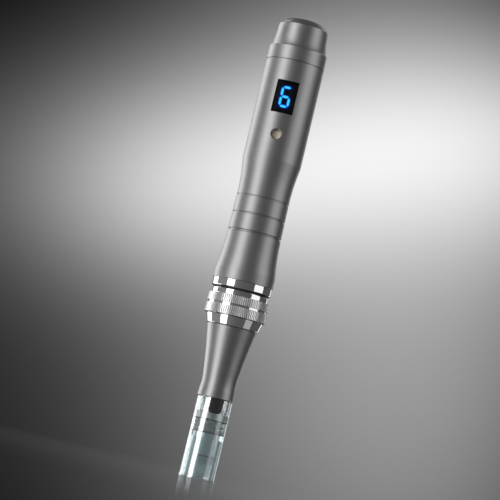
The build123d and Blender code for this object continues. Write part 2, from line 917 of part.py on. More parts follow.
with BuildPart() as magnets:
    with BuildSketch(Plane.XY.offset(armature_bottom)):
        Circle(magnet_bore_radius + magnet_thickness)
        Circle(magnet_bore_radius, mode=Mode.SUBTRACT)
        Rectangle(2 * motor_radius, 2 * motor_boss_radius, mode=Mode.SUBTRACT)
    extrude(amount=armature_length)
magnets.part.label = "magnets"
export_step(magnets.part, "parts/magnets.step")

with BuildPart() as end_bell:
    with BuildSketch(Plane.XY.offset(motor_top)):
        Circle(motor_radius)
        Circle(shaft_radius + running_gap, mode=Mode.SUBTRACT)
    extrude(amount=end_bell_height)
    with BuildSketch(Plane.XY.offset(motor_top - end_bell_height)):
        Circle(motor_radius - motor_wall - seat_gap)
        Circle(shaft_radius + running_gap, mode=Mode.SUBTRACT)
    extrude(amount=end_bell_height)
    chamfer(end_bell.edges().group_by(Axis.Z)[-1].sort_by(SortBy.RADIUS)[-1], motor_wall)
end_bell.part.label = "end_bell"
export_step(end_bell.part, "parts/end_bell.step")

with BuildPart() as motor_terminals:
    for side in (-1, 1):
        with BuildSketch(Plane.XY.offset(end_bell_top)):
            with Locations((side * motor_radius / 2, 0)):
                Rectangle(terminal_thickness, terminal_width)
        extrude(amount=terminal_height)
motor_terminals.part.label = "motor_terminals"
export_step(motor_terminals.part, "parts/motor_terminals.step")

with BuildPart() as motor_damper:
    damper_bottom = motor_bottom + (motor_length - damper_length) / 2
    with BuildSketch(Plane.XY.offset(damper_bottom)):
        Circle(waist_bore_radius - seat_gap)
        Circle(motor_radius + seat_gap, mode=Mode.SUBTRACT)
    extrude(amount=damper_length)
motor_damper.part.label = "motor_damper"
export_step(motor_damper.part, "parts/motor_damper.step")


# Yoke, follower pin and push rod

with BuildPart() as yoke:
    yoke_top = cam_top - sliding_gap
    with BuildSketch(Plane.XY.offset(yoke_bottom)):
        Circle(yoke_radius)
    extrude(amount=yoke_top - yoke_bottom)
    with BuildSketch(Plane.XY.offset(yoke_floor_top)):
        Circle(yoke_bore_radius)
    extrude(amount=yoke_top - yoke_floor_top, mode=Mode.SUBTRACT)
    with BuildSketch(Plane.XY.offset(yoke_bottom)):
        Circle(rod_radius + seat_gap)
    extrude(amount=yoke_floor, mode=Mode.SUBTRACT)
    with BuildSketch(Plane.YZ.offset(yoke_bore_radius - yoke_wall)):
        with Locations((0, pin_height)):
            Circle(follower_pin_radius + seat_gap)
    extrude(amount=3 * yoke_wall, mode=Mode.SUBTRACT)
yoke.part.label = "yoke"
export_step(yoke.part, "parts/yoke.step")

with BuildPart() as follower_pin:
    with BuildSketch(Plane.YZ.offset(cam_radius - cam_groove_depth + groove_gap)):
        with Locations((0, pin_height)):
            Circle(follower_pin_radius)
    extrude(amount=follower_pin_length)
follower_pin.part.label = "follower_pin"
export_step(follower_pin.part, "parts/follower_pin.step")

with BuildPart() as push_rod:
    with BuildSketch(Plane.XY.offset(rod_bottom + rod_tip_length)):
        Circle(rod_radius)
    extrude(amount=yoke_floor_top - rod_bottom - rod_tip_length)
push_rod.part.label = "push_rod"
export_step(push_rod.part, "parts/push_rod.step")

with BuildPart() as rod_tip:
    with BuildSketch(Plane.XY.offset(rod_bottom)):
        Circle(rod_tip_radius)
    extrude(amount=rod_tip_length)
    chamfer(rod_tip.edges(), mouth_edge)
rod_tip.part.label = "rod_tip"
export_step(rod_tip.part, "parts/rod_tip.step")


# Battery cradle: the moulded frame behind the board, with a round foot in the waist

board_front = board_setback + board_thickness
screw_x = board_width / 2 - board_screw_radius - board_screw_margin
screw_z = board_bottom + board_screw_inset

with BuildPart() as battery_cradle:
    with BuildSketch(Plane.XY.offset(cradle_bottom)):
        Circle(waist_bore_radius - seat_gap)
        Circle(waist_bore_radius - seat_gap - cradle_foot_wall, mode=Mode.SUBTRACT)
    extrude(amount=cradle_foot_length)
    with BuildSketch(Plane.XY.offset(cradle_step)):
        Circle(cradle_radius)
        with Locations((0, -board_setback)):
            Rectangle(
                2 * cradle_radius,
                cradle_radius,
                align=(Align.CENTER, Align.MAX),
                mode=Mode.SUBTRACT,
            )
    extrude(amount=cradle_top - cradle_step)
    with BuildSketch(Plane.XY.offset(cradle_step + cradle_floor)):
        with Locations((0, battery_y)):
            Circle(battery_radius + seat_gap)
            Rectangle(
                2 * (battery_radius + seat_gap),
                battery_y + board_setback + cut_overrun,
                align=(Align.CENTER, Align.MAX),
            )
    extrude(amount=cradle_top - cradle_step, mode=Mode.SUBTRACT)
    with BuildSketch(Plane.XZ.offset(board_setback)):
        with Locations((-screw_x, screw_z), (screw_x, screw_z)):
            Circle(board_screw_radius + seat_gap)
    extrude(amount=-board_screw_length, mode=Mode.SUBTRACT)
battery_cradle.part.label = "battery_cradle"
export_step(battery_cradle.part, "parts/battery_cradle.step")

with BuildPart() as battery_cell:
    with BuildSketch(Plane.XY.offset(battery_bottom)):
        with Locations((0, battery_y)):
            Circle(battery_radius)
    extrude(amount=battery_length)
    chamfer(battery_cell.edges().group_by(Axis.Z)[-1], contact_thickness)
    chamfer(battery_cell.edges().group_by(Axis.Z)[0], contact_thickness)
battery_cell.part.label = "battery_cell"
export_step(battery_cell.part, "parts/battery_cell.step")

with BuildPart() as battery_contacts:
    for contact_bottom in (battery_bottom - contact_thickness, battery_top):
        with BuildSketch(Plane.XY.offset(contact_bottom)):
            with Locations((0, battery_y)):
                Circle(contact_radius)
        extrude(amount=contact_thickness)
battery_contacts.part.label = "battery_contacts"
export_step(battery_contacts.part, "parts/battery_contacts.step")

with BuildPart() as circuit_board:
    with BuildSketch(Plane.XZ.offset(board_setback)):
        with Locations((0, board_bottom + board_length / 2)):
            RectangleRounded(board_width, board_length, board_thickness)
        with Locations((-screw_x, screw_z), (screw_x, screw_z)):
            Circle(board_screw_radius + seat_gap, mode=Mode.SUBTRACT)
    extrude(amount=board_thickness)
circuit_board.part.label = "circuit_board"
export_step(circuit_board.part, "parts/circuit_board.step")

with BuildPart() as board_screws:
    with BuildSketch(Plane.XZ.offset(board_front)):
        with Locations((-screw_x, screw_z), (screw_x, screw_z)):
            Circle(board_screw_head_radius)
    extrude(amount=board_screw_head_height)
    with BuildSketch(Plane.XZ.offset(board_front)):
        with Locations((-screw_x, screw_z), (screw_x, screw_z)):
            Circle(board_screw_radius)
    extrude(amount=-board_screw_length)
board_screws.part.label = "board_screws"
export_step(board_screws.part, "parts/board_screws.step")

# Motor leads: two insulated wires from the motor's terminals to the foot of the board

with BuildPart() as motor_leads:
    lead_start = end_bell_top + terminal_height + seat_gap
    lead_y = -board_front - lead_radius - seat_gap
    for side in (-1, 1):
        with BuildLine():
            lead_path = FilletPolyline(
                (side * motor_radius / 2, 0, lead_start),
                (side * motor_radius / 2, 0, lead_start + lead_rise),
                (side * lead_spread, lead_y, cradle_step - lead_rise / 2),
                (side * lead_spread, lead_y, board_bottom + lead_rise),
                radius=lead_bend,
            )
        with BuildSketch(Plane(origin=lead_path @ 0, z_dir=lead_path % 0)):
            Circle(lead_radius)
        sweep(path=lead_path)
motor_leads.part.label = "motor_leads"
export_step(motor_leads.part, "parts/motor_leads.step")


# Barrel: one turned shell with a gripping waist, three grooves, a window and a button hole

with BuildPart() as barrel_shell:
    land_top = barrel_bottom + land_length
    break_height = cradle_step + shoulder_length / 2
    shoulder_bottom = break_height - shoulder_length
    waist_length = shoulder_bottom - land_top
    fall_shares = ((0.12, 0.545), (0.38, 0.12), (0.64, 0.0))
    bore_step_top = cradle_step - seat_gap
    with BuildSketch(Plane.XZ):
        with BuildLine():
            Polyline(
                (barrel_radius, break_height),
                (barrel_radius, barrel_top),
                (barrel_bore_radius, barrel_top),
                (barrel_bore_radius, bore_step_top),
                (waist_bore_radius, bore_step_top),
                (waist_bore_radius, collar_spigot_top),
                (ring_neck_radius + seat_gap, collar_spigot_top),
                (ring_neck_radius + seat_gap, barrel_bottom),
                (land_radius - edge_break, barrel_bottom),
                (land_radius, barrel_bottom + edge_break),
                (land_radius, land_top),
            )
            Spline(
                (land_radius, land_top),
                *[
                    (
                        waist_radius + swell * (land_radius - waist_radius),
                        land_top + rise * waist_length,
                    )
                    for rise, swell in fall_shares
                ],
                (shoulder_radius, shoulder_bottom),
                tangents=((-shoulder_drop, land_length), (shoulder_drop, shoulder_length)),
            )
            Line((shoulder_radius, shoulder_bottom), (barrel_radius, break_height))
        make_face()
    revolve(axis=Axis.Z)
    groove_flare = (grip_groove_mouth - grip_groove_floor) / 2
    groove_outer_half = grip_groove_floor / 2 + 3 * groove_flare
    groove_outer_radius = groove_floor_radius + 3 * grip_groove_depth
    for number in range(grip_groove_count):
        groove_z = land_top + grip_groove_rise + number * grip_groove_pitch
        with BuildSketch(Plane.XZ):
            with BuildLine():
                Polyline(
                    (groove_floor_radius, groove_z - grip_groove_floor / 2),
                    (groove_outer_radius, groove_z - groove_outer_half),
                    (groove_outer_radius, groove_z + groove_outer_half),
                    (groove_floor_radius, groove_z + grip_groove_floor / 2),
                    close=True,
                )
            make_face()
        revolve(axis=Axis.Z, mode=Mode.SUBTRACT)
    with BuildSketch(Plane.XZ.offset(barrel_bore_radius - barrel_wall)):
        with Locations((0, window_z)):
            RectangleRounded(window_width, window_height, window_corner)
    extrude(amount=3 * barrel_wall, mode=Mode.SUBTRACT)
    with BuildSketch(Plane.XZ.offset(barrel_bore_radius - barrel_wall)):
        with Locations((0, button_z)):
            Circle(button_hole_radius)
    extrude(amount=3 * barrel_wall, mode=Mode.SUBTRACT)
barrel_shell.part.label = "barrel_shell"
export_step(barrel_shell.part, "parts/barrel_shell.step")


# Display: a smoked lens, the black digit module and the bars of its digit

with BuildPart() as display_lens:
    lens_back = barrel_bore_radius - lens_thickness + barrel_wall / 2
    with BuildSketch(Plane.XZ.offset(lens_back)):
        with Locations((0, window_z)):
            RectangleRounded(
                window_width - 2 * seat_gap, window_height - 2 * seat_gap, window_corner
            )
    extrude(amount=2 * barrel_wall)
    with BuildSketch(Plane.XY.offset(window_z - window_height)):
        Circle(barrel_radius - window_recess)
    extrude(amount=2 * window_height, mode=Mode.INTERSECT)
display_lens.part.label = "display_lens"
export_step(display_lens.part, "parts/display_lens.step")

with BuildPart() as display_module:
    module_front = lens_back - display_depth_gap - segment_relief
    with BuildSketch(Plane.XZ.offset(board_front)):
        with Locations((0, window_z)):
            RectangleRounded(
                window_width - 4 * seat_gap, window_height - 4 * seat_gap, window_corner
            )
    extrude(amount=module_front - board_front)
display_module.part.label = "display_module"
export_step(display_module.part, "parts/display_module.step")


def bar_outline(along_x):
    """Corner points of one six-sided bar of the digit, centred on its middle."""
    pitch = digit_width - segment_width if along_x else (digit_height - segment_width) / 2
    tip = pitch / 2 - segment_gap
    side = segment_width / 2
    shape = (
        (-tip, 0),
        (side - tip, side),
        (tip - side, side),
        (tip, 0),
        (tip - side, -side),
        (side - tip, -side),
    )
    return shape if along_x else [(y, x) for x, y in shape]


side_x = (digit_width - segment_width) / 2
side_z = (digit_height - segment_width) / 4
end_z = (digit_height - segment_width) / 2
lit_bars = (
    (0, end_z, True),
    (0, 0, True),
    (0, -end_z, True),
    (-side_x, side_z, False),
    (-side_x, -side_z, False),
    (side_x, -side_z, False),
)
dark_bars = ((side_x, side_z, False),)


with BuildPart() as lit_segments:
    digit_z = window_z + digit_rise
    for x, z, along_x in lit_bars:
        with BuildSketch(Plane.XZ.offset(module_front)):
            with Locations((x, digit_z + z)):
                Polygon(*bar_outline(along_x), align=None)
        extrude(amount=segment_relief)
lit_segments.part.label = "lit_segments"
export_step(lit_segments.part, "parts/lit_segments.step")

with BuildPart() as dark_segment:
    for x, z, along_x in dark_bars:
        with BuildSketch(Plane.XZ.offset(module_front)):
            with Locations((x, digit_z + z)):
                Polygon(*bar_outline(along_x), align=None)
        extrude(amount=segment_relief)
dark_segment.part.label = "dark_segment"
export_step(dark_segment.part, "parts/dark_segment.step")


# Power button: cream cap, its guide ring behind the hole and the switch on the board

with BuildPart() as button_guide:
    button_front = barrel_radius - button_recess
    guide_seat = button_front - guide_step
    guide_back = barrel_bore_radius - guide_length
    with BuildSketch(Plane.XZ.offset(guide_back)):
        with Locations((0, button_z)):
            Circle(guide_radius)
            Circle(button_radius + running_gap, mode=Mode.SUBTRACT)
    extrude(amount=guide_seat - guide_back)
    with BuildSketch(Plane.XZ.offset(guide_seat)):
        with Locations((0, button_z)):
            Circle(guide_radius)
            Circle(button_hole_radius, mode=Mode.SUBTRACT)
    extrude(amount=barrel_radius - guide_seat)
    with BuildSketch(Plane.XY.offset(button_z - guide_radius)):
        Circle(barrel_bore_radius - seat_gap)
    extrude(amount=2 * guide_radius, mode=Mode.INTERSECT)
button_guide.part.label = "button_guide"
export_step(button_guide.part, "parts/button_guide.step")

with BuildPart() as power_button:
    stop_front = guide_back - running_gap
    plunger_front = board_front + switch_height + switch_plunger_height
    with BuildSketch(Plane.XZ.offset(plunger_front)):
        with Locations((0, button_z)):
            Circle(button_stem_radius)
    extrude(amount=button_front - plunger_front)
    with BuildSketch(Plane.XZ.offset(stop_front - button_flange_height)):
        with Locations((0, button_z)):
            Circle(button_flange_radius)
    extrude(amount=button_flange_height)
    with BuildSketch(Plane.XZ.offset(stop_front - button_flange_height)):
        with Locations((0, button_z)):
            Circle(button_radius)
    extrude(amount=button_front - stop_front + button_flange_height)
    chamfer(power_button.edges().group_by(Axis.Y)[0], button_crown)
power_button.part.label = "power_button"
export_step(power_button.part, "parts/power_button.step")

with BuildPart() as tact_switch:
    plunger_root = button_travel + running_gap
    with BuildSketch(Plane.XZ.offset(board_front)):
        with Locations((0, button_z)):
            Rectangle(switch_size, switch_size)
    extrude(amount=switch_height)
    with BuildSketch(Plane.XZ.offset(board_front + switch_height - 2 * plunger_root)):
        with Locations((0, button_z)):
            Circle(switch_plunger_radius + running_gap)
    extrude(amount=2 * plunger_root, mode=Mode.SUBTRACT)
tact_switch.part.label = "tact_switch"
export_step(tact_switch.part, "parts/tact_switch.step")

with BuildPart() as switch_plunger:
    with BuildSketch(Plane.XZ.offset(plunger_front - switch_plunger_height - plunger_root)):
        with Locations((0, button_z)):
            Circle(switch_plunger_radius)
    extrude(amount=switch_plunger_height + plunger_root)
switch_plunger.part.label = "switch_plunger"
export_step(switch_plunger.part, "parts/switch_plunger.step")


# Tail cap: a plain band, a hollow flank, a crisp rim and a low dome round the socket

with BuildPart() as tail_cap:
    flank_start = barrel_radius - band_bevel
    flank_shares = ((0.30, 0.43), (0.69, 0.17))
    spigot_bottom = barrel_top - cap_spigot_length
    spigot_radius = barrel_bore_radius - seat_gap
    cavity_radius = spigot_radius - cap_spigot_wall
    cavity_top = cap_top - socket_flange_height - socket_roof
    throat_radius = rim_radius - throat_wall
    flat_radius = socket_flange_radius + dome_flat_width
    with BuildSketch(Plane.XZ):
        with BuildLine():
            Polyline(
                (flat_radius, cap_top),
                (socket_flange_radius + seat_gap, cap_top),
                (socket_flange_radius + seat_gap, cap_top - socket_flange_height),
                (socket_thread_radius + seat_gap, cap_top - socket_flange_height),
                (socket_thread_radius + seat_gap, cavity_top),
                (throat_radius - cap_wall, cavity_top),
                (throat_radius, cavity_top - cap_wall),
                (throat_radius, band_top),
                (cavity_radius, cap_bottom),
                (cavity_radius, spigot_bottom),
                (spigot_radius, spigot_bottom),
                (spigot_radius, cap_bottom),
                (barrel_radius, cap_bottom),
                (barrel_radius, band_top - band_bevel),
                (flank_start, band_top),
            )
            Spline(
                (flank_start, band_top),
                *[
                    (rim_radius + swell * (flank_start - rim_radius), band_top + rise * flank_length)
                    for rise, swell in flank_shares
                ],
                (rim_radius, rim_height),
            )
            Line((rim_radius, rim_height), (rim_radius - rim_chamfer, rim_height + rim_chamfer))
            TangentArc(
                (flat_radius, cap_top),
                (rim_radius - rim_chamfer, rim_height + rim_chamfer),
                tangent=(1, 0),
            )
        make_face()
    revolve(axis=Axis.Z)
tail_cap.part.label = "tail_cap"
export_step(tail_cap.part, "parts/tail_cap.step")

with BuildPart() as seam_ring:
    with BuildSketch(Plane.XY.offset(barrel_top)):
        Circle(barrel_radius - seam_depth)
        Circle(spigot_radius + seat_gap, mode=Mode.SUBTRACT)
    extrude(amount=seam_gap)
seam_ring.part.label = "seam_ring"
export_step(seam_ring.part, "parts/seam_ring.step")

with BuildPart() as charging_socket:
    with BuildSketch(Plane.XY.offset(cap_top - socket_body_length)):
        Circle(socket_thread_radius)
    extrude(amount=socket_body_length - socket_flange_height)
    with BuildSketch(Plane.XY.offset(cap_top - socket_flange_height)):
        Circle(socket_flange_radius)
    extrude(amount=socket_flange_height)
    chamfer(charging_socket.edges().group_by(Axis.Z)[-1], socket_flange_edge)
    with BuildSketch(Plane.XY.offset(cap_top - socket_depth)):
        Circle(jack_bore_radius)
    extrude(amount=socket_depth, mode=Mode.SUBTRACT)
charging_socket.part.label = "charging_socket"
export_step(charging_socket.part, "parts/charging_socket.step")

with BuildPart() as socket_pin:
    with BuildSketch(Plane.XY.offset(cap_top - socket_depth)):
        Circle(jack_pin_radius)
    extrude(amount=socket_depth - jack_pin_setback)
    chamfer(socket_pin.edges().group_by(Axis.Z)[-1], jack_pin_radius / 3)
socket_pin.part.label = "socket_pin"
export_step(socket_pin.part, "parts/socket_pin.step")

with BuildPart() as socket_nut:
    with BuildSketch(Plane.XY.offset(cavity_top - socket_nut_height)):
        RegularPolygon(socket_nut_width / 2, 6, major_radius=False)
        Circle(socket_thread_radius + seat_gap, mode=Mode.SUBTRACT)
    extrude(amount=socket_nut_height)
socket_nut.part.label = "socket_nut"
export_step(socket_nut.part, "parts/socket_nut.step")

with BuildPart() as socket_leads:
    socket_bottom = cap_top - socket_body_length
    lead_turn = max(board_top, battery_top) + lead_rise / 2
    board_middle = board_setback + board_thickness / 2
    for side in (-1, 1):
        with BuildLine():
            lead_path = FilletPolyline(
                (side * socket_lead_spread, 0, socket_bottom),
                (side * socket_lead_spread, 0, socket_bottom - lead_rise),
                (side * lead_spread, -board_middle, lead_turn),
                (side * lead_spread, -board_middle, board_top),
                radius=lead_bend,
            )
        with BuildSketch(Plane(origin=lead_path @ 0, z_dir=lead_path % 0)):
            Circle(lead_radius)
        sweep(path=lead_path)
socket_leads.part.label = "socket_leads"
export_step(socket_leads.part, "parts/socket_leads.step")

print(f"overall length {cap_top:.2f} mm, barrel diameter {2 * barrel_radius:.2f} mm")
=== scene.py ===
# %% [markdown]
# # A microneedling pen, dressed for its portrait
# The pen was built as separate solids in a CAD program, and this script gives them their
# looks. It reads the imported solids as a fixed frame: nothing is moved, and each solid only
# gets a finish. A piece is modelled here only where a solid can't show what the real one
# does. These are the fine knurl of the depth ring, the turned core that carries it, and the
# soft bellows. The pen's axis is Z, the mouth of its needle cartridge is at Z = 0, and the
# display faces -Y.

# %% Load the frame
import math

import bpy
from mathutils import Matrix, Vector


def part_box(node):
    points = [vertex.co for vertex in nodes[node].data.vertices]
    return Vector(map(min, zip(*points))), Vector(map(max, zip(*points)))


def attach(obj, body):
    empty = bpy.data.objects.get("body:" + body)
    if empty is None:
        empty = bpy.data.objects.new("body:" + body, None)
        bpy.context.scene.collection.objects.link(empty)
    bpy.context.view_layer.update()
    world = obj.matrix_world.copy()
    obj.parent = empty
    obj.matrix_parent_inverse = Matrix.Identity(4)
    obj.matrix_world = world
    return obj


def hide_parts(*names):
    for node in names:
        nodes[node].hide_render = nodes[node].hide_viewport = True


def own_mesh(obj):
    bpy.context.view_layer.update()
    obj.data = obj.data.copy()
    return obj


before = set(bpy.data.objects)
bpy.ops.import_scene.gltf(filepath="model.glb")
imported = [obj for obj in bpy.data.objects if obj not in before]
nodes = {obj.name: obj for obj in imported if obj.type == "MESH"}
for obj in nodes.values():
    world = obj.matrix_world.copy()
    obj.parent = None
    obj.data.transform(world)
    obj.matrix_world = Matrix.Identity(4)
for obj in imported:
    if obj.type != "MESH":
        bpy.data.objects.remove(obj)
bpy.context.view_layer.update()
bpy.ops.object.select_all(action="DESELECT")
MM = 0.001
print("solids loaded:", len(nodes))

# %% [markdown]
# ## The camera
# The photograph was taken from far away with a long lens, from just above the table, and
# the pen leans in it. Here the pen stands upright on its mouth, as its solids do. So the
# camera is placed far off and low, aimed half way up the pen, and rolled about its own line
# of sight until the pen leans by as much. The size of the pen in the frame sets the lens.

# %% Camera
PHOTO_WIDTH = 500
FOCAL_PIXELS = 2160
SENSOR = 36.0
CAMERA_DISTANCE = 868.7 * MM
CAMERA_HEIGHT = 10.5 * MM
CAMERA_SIDE = math.radians(4.8)
AIM_HEIGHT = 94.3 * MM
AIM_SIDE = -0.32 * MM
ROLL = math.radians(13.48)
NEAREST_SEEN = 0.05
FARTHEST_SEEN = 60

camera_data = bpy.data.cameras.new("camera")
camera_data.sensor_width = SENSOR
camera_data.lens = FOCAL_PIXELS * SENSOR / PHOTO_WIDTH
camera_data.clip_start = NEAREST_SEEN
camera_data.clip_end = FARTHEST_SEEN
camera = bpy.data.objects.new("camera", camera_data)
bpy.context.scene.collection.objects.link(camera)

eye = Vector(
    (
        math.sin(CAMERA_SIDE) * CAMERA_DISTANCE,
        -math.cos(CAMERA_SIDE) * CAMERA_DISTANCE,
        CAMERA_HEIGHT,
    )
)
forward = (Vector((AIM_SIDE, 0, AIM_HEIGHT)) - eye).normalized()
level_up = (Vector((0, 0, 1)) - forward * forward.z).normalized()
level_right = forward.cross(level_up)
right = level_right * math.cos(ROLL) + level_up * math.sin(ROLL)
up = level_up * math.cos(ROLL) - level_right * math.sin(ROLL)
turn = Matrix((right, up, -forward)).transposed()
camera.matrix_world = Matrix.Translation(eye) @ turn.to_4x4()
bpy.context.scene.camera = camera
print("lens", round(camera_data.lens, 1), "mm, at", [round(c, 3) for c in eye])

# %% [markdown]
# ## Shader maths as plain expressions
# A finish is a small sum of patterns: fine grain, brush lines, a little unevenness. In the
# node editor each plus and times is a Math node. The class below wraps a node's socket, so
# that a line of Python such as `0.3 + 0.1 * grain` adds those Math nodes by itself.


# %% Sockets that can be added and multiplied
class Wire:
    """A node socket that takes part in sums."""

    def __init__(self, finish, socket):
        self.finish = finish
        self.socket = socket

    def __add__(self, other):
        return self.finish.maths("ADD", self, other)

    def __sub__(self, other):
        return self.finish.maths("SUBTRACT", self, other)

    def __rsub__(self, other):
        return self.finish.maths("SUBTRACT", other, self)

    def __mul__(self, other):
        return self.finish.maths("MULTIPLY", self, other)

    def __truediv__(self, other):
        return self.finish.maths("DIVIDE", self, other)

    def __pow__(self, other):
        return self.finish.maths("POWER", self, other)

    __radd__ = __add__
    __rmul__ = __mul__


# %% A finish and its nodes
class Finish:
    """One material and the nodes that are added to it."""

    def __init__(self, name):
        self.material = bpy.data.materials.new(name)
        self.material.use_nodes = True
        self.tree = self.material.node_tree
        self.shader = self.tree.nodes["Principled BSDF"]
        self.place = self.node("ShaderNodeTexCoord", output="Object")

    def node(self, kind, settings=(), values=(), output=0):
        """Adds a node: first its settings, then values or links for its sockets."""
        made = self.tree.nodes.new(kind)
        for key, value in dict(settings).items():
            setattr(made, key, value)
        pairs = values.items() if isinstance(values, dict) else enumerate(values)
        for key, value in pairs:
            self.feed(made.inputs[key], value)
        return Wire(self, made.outputs[output])

    def maths(self, operation, *values):
        """A Math node, such as ADD, ABSOLUTE or LESS_THAN."""
        return self.node("ShaderNodeMath", {"operation": operation}, values)

    def feed(self, socket, value):
        if isinstance(value, Wire):
            self.tree.links.new(value.socket, socket)
        else:
            socket.default_value = value

    def set(self, values):
        """Sets or links the shader's own sockets, by name."""
        for key, value in values.items():
            self.feed(self.shader.inputs[key], value)


print("shader helpers ready")

# %% [markdown]
# ## Patterns on a turned piece
# Nearly every piece of the pen is turned on a lathe, so its marks run round the axis. Object
# coordinates give the place on the surface. A noise that is stretched round the axis and
# left fine along it gives lathe lines. A plain fine noise gives the grain of bead blasting.

# %% Patterns
LINE_STRETCH = 60


def parts(finish):
    """The three coordinates of the surface point, in metres."""
    split = finish.node("ShaderNodeSeparateXYZ", {}, (finish.place,)).socket.node
    return [Wire(finish, coordinate) for coordinate in split.outputs]


def noise(finish, size, detail=2.0, stretch=(1, 1, 1), offset=0.0):
    """A noise from 0 to 1 with spots of a size. An offset keeps two noises apart."""
    moved = finish.node(
        "ShaderNodeMapping",
        {},
        {
            "Vector": finish.place,
            "Scale": tuple(1 / (size * s) for s in stretch),
            "Location": (offset, offset, offset),
        },
    )
    return finish.node(
        "ShaderNodeTexNoise", {}, {"Vector": moved, "Scale": 1.0, "Detail": detail}
    )


def lathe_lines(finish, pitch):
    """Fine lines round the axis, a pitch apart, that fade in and out along their way."""
    return noise(finish, pitch, 3.0, (LINE_STRETCH, LINE_STRETCH, 1))


# %% [markdown]
# The next helpers mix two colours by a pattern, tilt the surface's normal by a pattern, and
# put a finish on the CAD solids. Each solid keeps its own slots, and only what is in them
# changes.


# %% Colours, bumps and dressing
def colour(value):
    """A link as it is, or red, green and blue with an alpha of 1."""
    return value if isinstance(value, Wire) else (*value, 1.0)


def mixed(finish, share, one, other):
    """A colour between two colours."""
    return finish.node(
        "ShaderNodeMix",
        {"data_type": "RGBA"},
        {0: share, 6: colour(one), 7: colour(other)},
        output=2,
    )


def bumped(finish, height, strength, distance):
    """A normal tilted by a height pattern."""
    normal = finish.node(
        "ShaderNodeBump",
        {},
        {"Strength": strength, "Distance": distance, "Height": height},
    )
    finish.set({"Normal": normal})


def dress(finish, *names):
    """Gives a finish to CAD solids, in every slot they have."""
    for name in names:
        slots = nodes[name].material_slots
        if not slots:
            nodes[name].data.materials.append(finish.material)
        for slot in slots:
            slot.material = finish.material
    print(finish.material.name, "on", len(names), "pieces")


# %% [markdown]
# ## Bead-blasted aluminium
# The barrel, the tail cap and the nose are turned aluminium, blasted with fine glass beads
# and anodised in grey. Up close such a skin is a tight grain with faint turning lines and
# soft mottling below it. All three are a very shallow bump, and they change the colour and
# the gloss a little, which is enough to break up the broad reflections.

# %% Blasted finish
BEAD_SIZE = 0.16 * MM
TURNING_PITCH = 0.22 * MM
MOTTLE_SIZE = 0.9 * MM
CLOUD_SIZE = 6 * MM
BEAD_DEPTH = 0.03 * MM
BARREL_DARK = (0.30, 0.30, 0.298)
BARREL_LIGHT = (0.42, 0.42, 0.417)
GUIDE_DARK = (0.55, 0.55, 0.545)
GUIDE_LIGHT = (0.75, 0.75, 0.74)


def blasted(name, dark, light, gloss):
    """Aluminium with a grain between two greys."""
    finish = Finish(name)
    grain = noise(finish, BEAD_SIZE)
    lines = lathe_lines(finish, TURNING_PITCH)
    cloud = noise(finish, CLOUD_SIZE, offset=3.0)
    mottle = noise(finish, MOTTLE_SIZE, 3.0, offset=11.0)
    tone = 0.3 * lines + 0.25 * grain + 0.2 * cloud + 0.25 * mottle
    finish.set(
        {
            "Base Color": mixed(finish, tone, dark, light),
            "Metallic": 1.0,
            "Roughness": gloss + 0.10 * (lines - 0.5) + 0.08 * (mottle - 0.5),
        }
    )
    bumped(finish, 0.4 * grain + 0.3 * lines + 0.3 * mottle, 0.5, BEAD_DEPTH)
    return finish


barrel_finish = blasted("blasted_barrel", BARREL_DARK, BARREL_LIGHT, gloss=0.42)
dress(barrel_finish, "barrel_shell", "tail_cap")
nose_finish = blasted("blasted_nose", BARREL_DARK, BARREL_LIGHT, gloss=0.40)
dress(nose_finish, "nose_cone")
guide_finish = blasted("blasted_guide", GUIDE_DARK, GUIDE_LIGHT, gloss=0.50)
dress(guide_finish, "button_guide")

# %% [markdown]
# ## Polished and plain steel
# The collars are polished until they mirror the lamps with hard edges. What tells polished
# metal from perfect chrome is a trace of turning: the reflections are slightly combed. So
# the roughness stays very low and the lines move it a little. Steel pieces inside the pen
# are ground or drawn, not polished, and get the same pattern with more roughness.

# %% Steel skin
GROUND_GRAIN = 0.5 * MM
GROUND_DEPTH = 0.01 * MM


def ground_grain(finish):
    """The slow unevenness of a ground face."""
    return noise(finish, GROUND_GRAIN, 3.0, offset=5.0)


def ground_skin(finish, tone, lines, grain, gloss, depth):
    """Metal of a tone, with a gloss that is combed by its lines."""
    finish.set(
        {
            "Base Color": tone,
            "Metallic": 1.0,
            "Roughness": gloss + 0.5 * gloss * (lines - 0.5) + 0.04 * (grain - 0.5),
        }
    )
    bumped(finish, lines, depth, GROUND_DEPTH)


def steel(name, dark, light, gloss, pitch, depth):
    """Metal between two tones, with lines at a pitch in millimetres."""
    finish = Finish(name)
    lines = lathe_lines(finish, pitch * MM)
    grain = ground_grain(finish)
    tone = mixed(finish, 0.6 * lines + 0.4 * grain, dark, light)
    ground_skin(finish, tone, lines, grain, gloss, depth)
    return finish


# %% Steel and brass finishes
polished = steel(
    "polished_collar", (0.72, 0.72, 0.73), (0.86, 0.86, 0.87), gloss=0.07, pitch=0.12, depth=0.05
)
dress(polished, "front_collar", "nose_collar", "cartridge_mount")
ground = steel(
    "ground_steel", (0.42, 0.42, 0.43), (0.62, 0.62, 0.63), gloss=0.24, pitch=0.18, depth=0.2
)
dress(ground, "nose_sleeve", "snap_ring", "guide_pins", "motor_shaft", "follower_pin", "push_rod")
plated = steel(
    "zinc_plate", (0.55, 0.56, 0.57), (0.74, 0.75, 0.77), gloss=0.28, pitch=0.6, depth=0.15
)
dress(plated, "motor_can", "motor_screws", "board_screws", "socket_nut")
needle_steel = steel(
    "needle_steel", (0.66, 0.66, 0.67), (0.82, 0.82, 0.83), gloss=0.14, pitch=0.05, depth=0.1
)
dress(needle_steel, "needles")
brass = steel(
    "contact_brass", (0.56, 0.42, 0.18), (0.78, 0.62, 0.32), gloss=0.22, pitch=0.3, depth=0.1
)
dress(brass, "motor_terminals", "battery_contacts", "socket_pin")

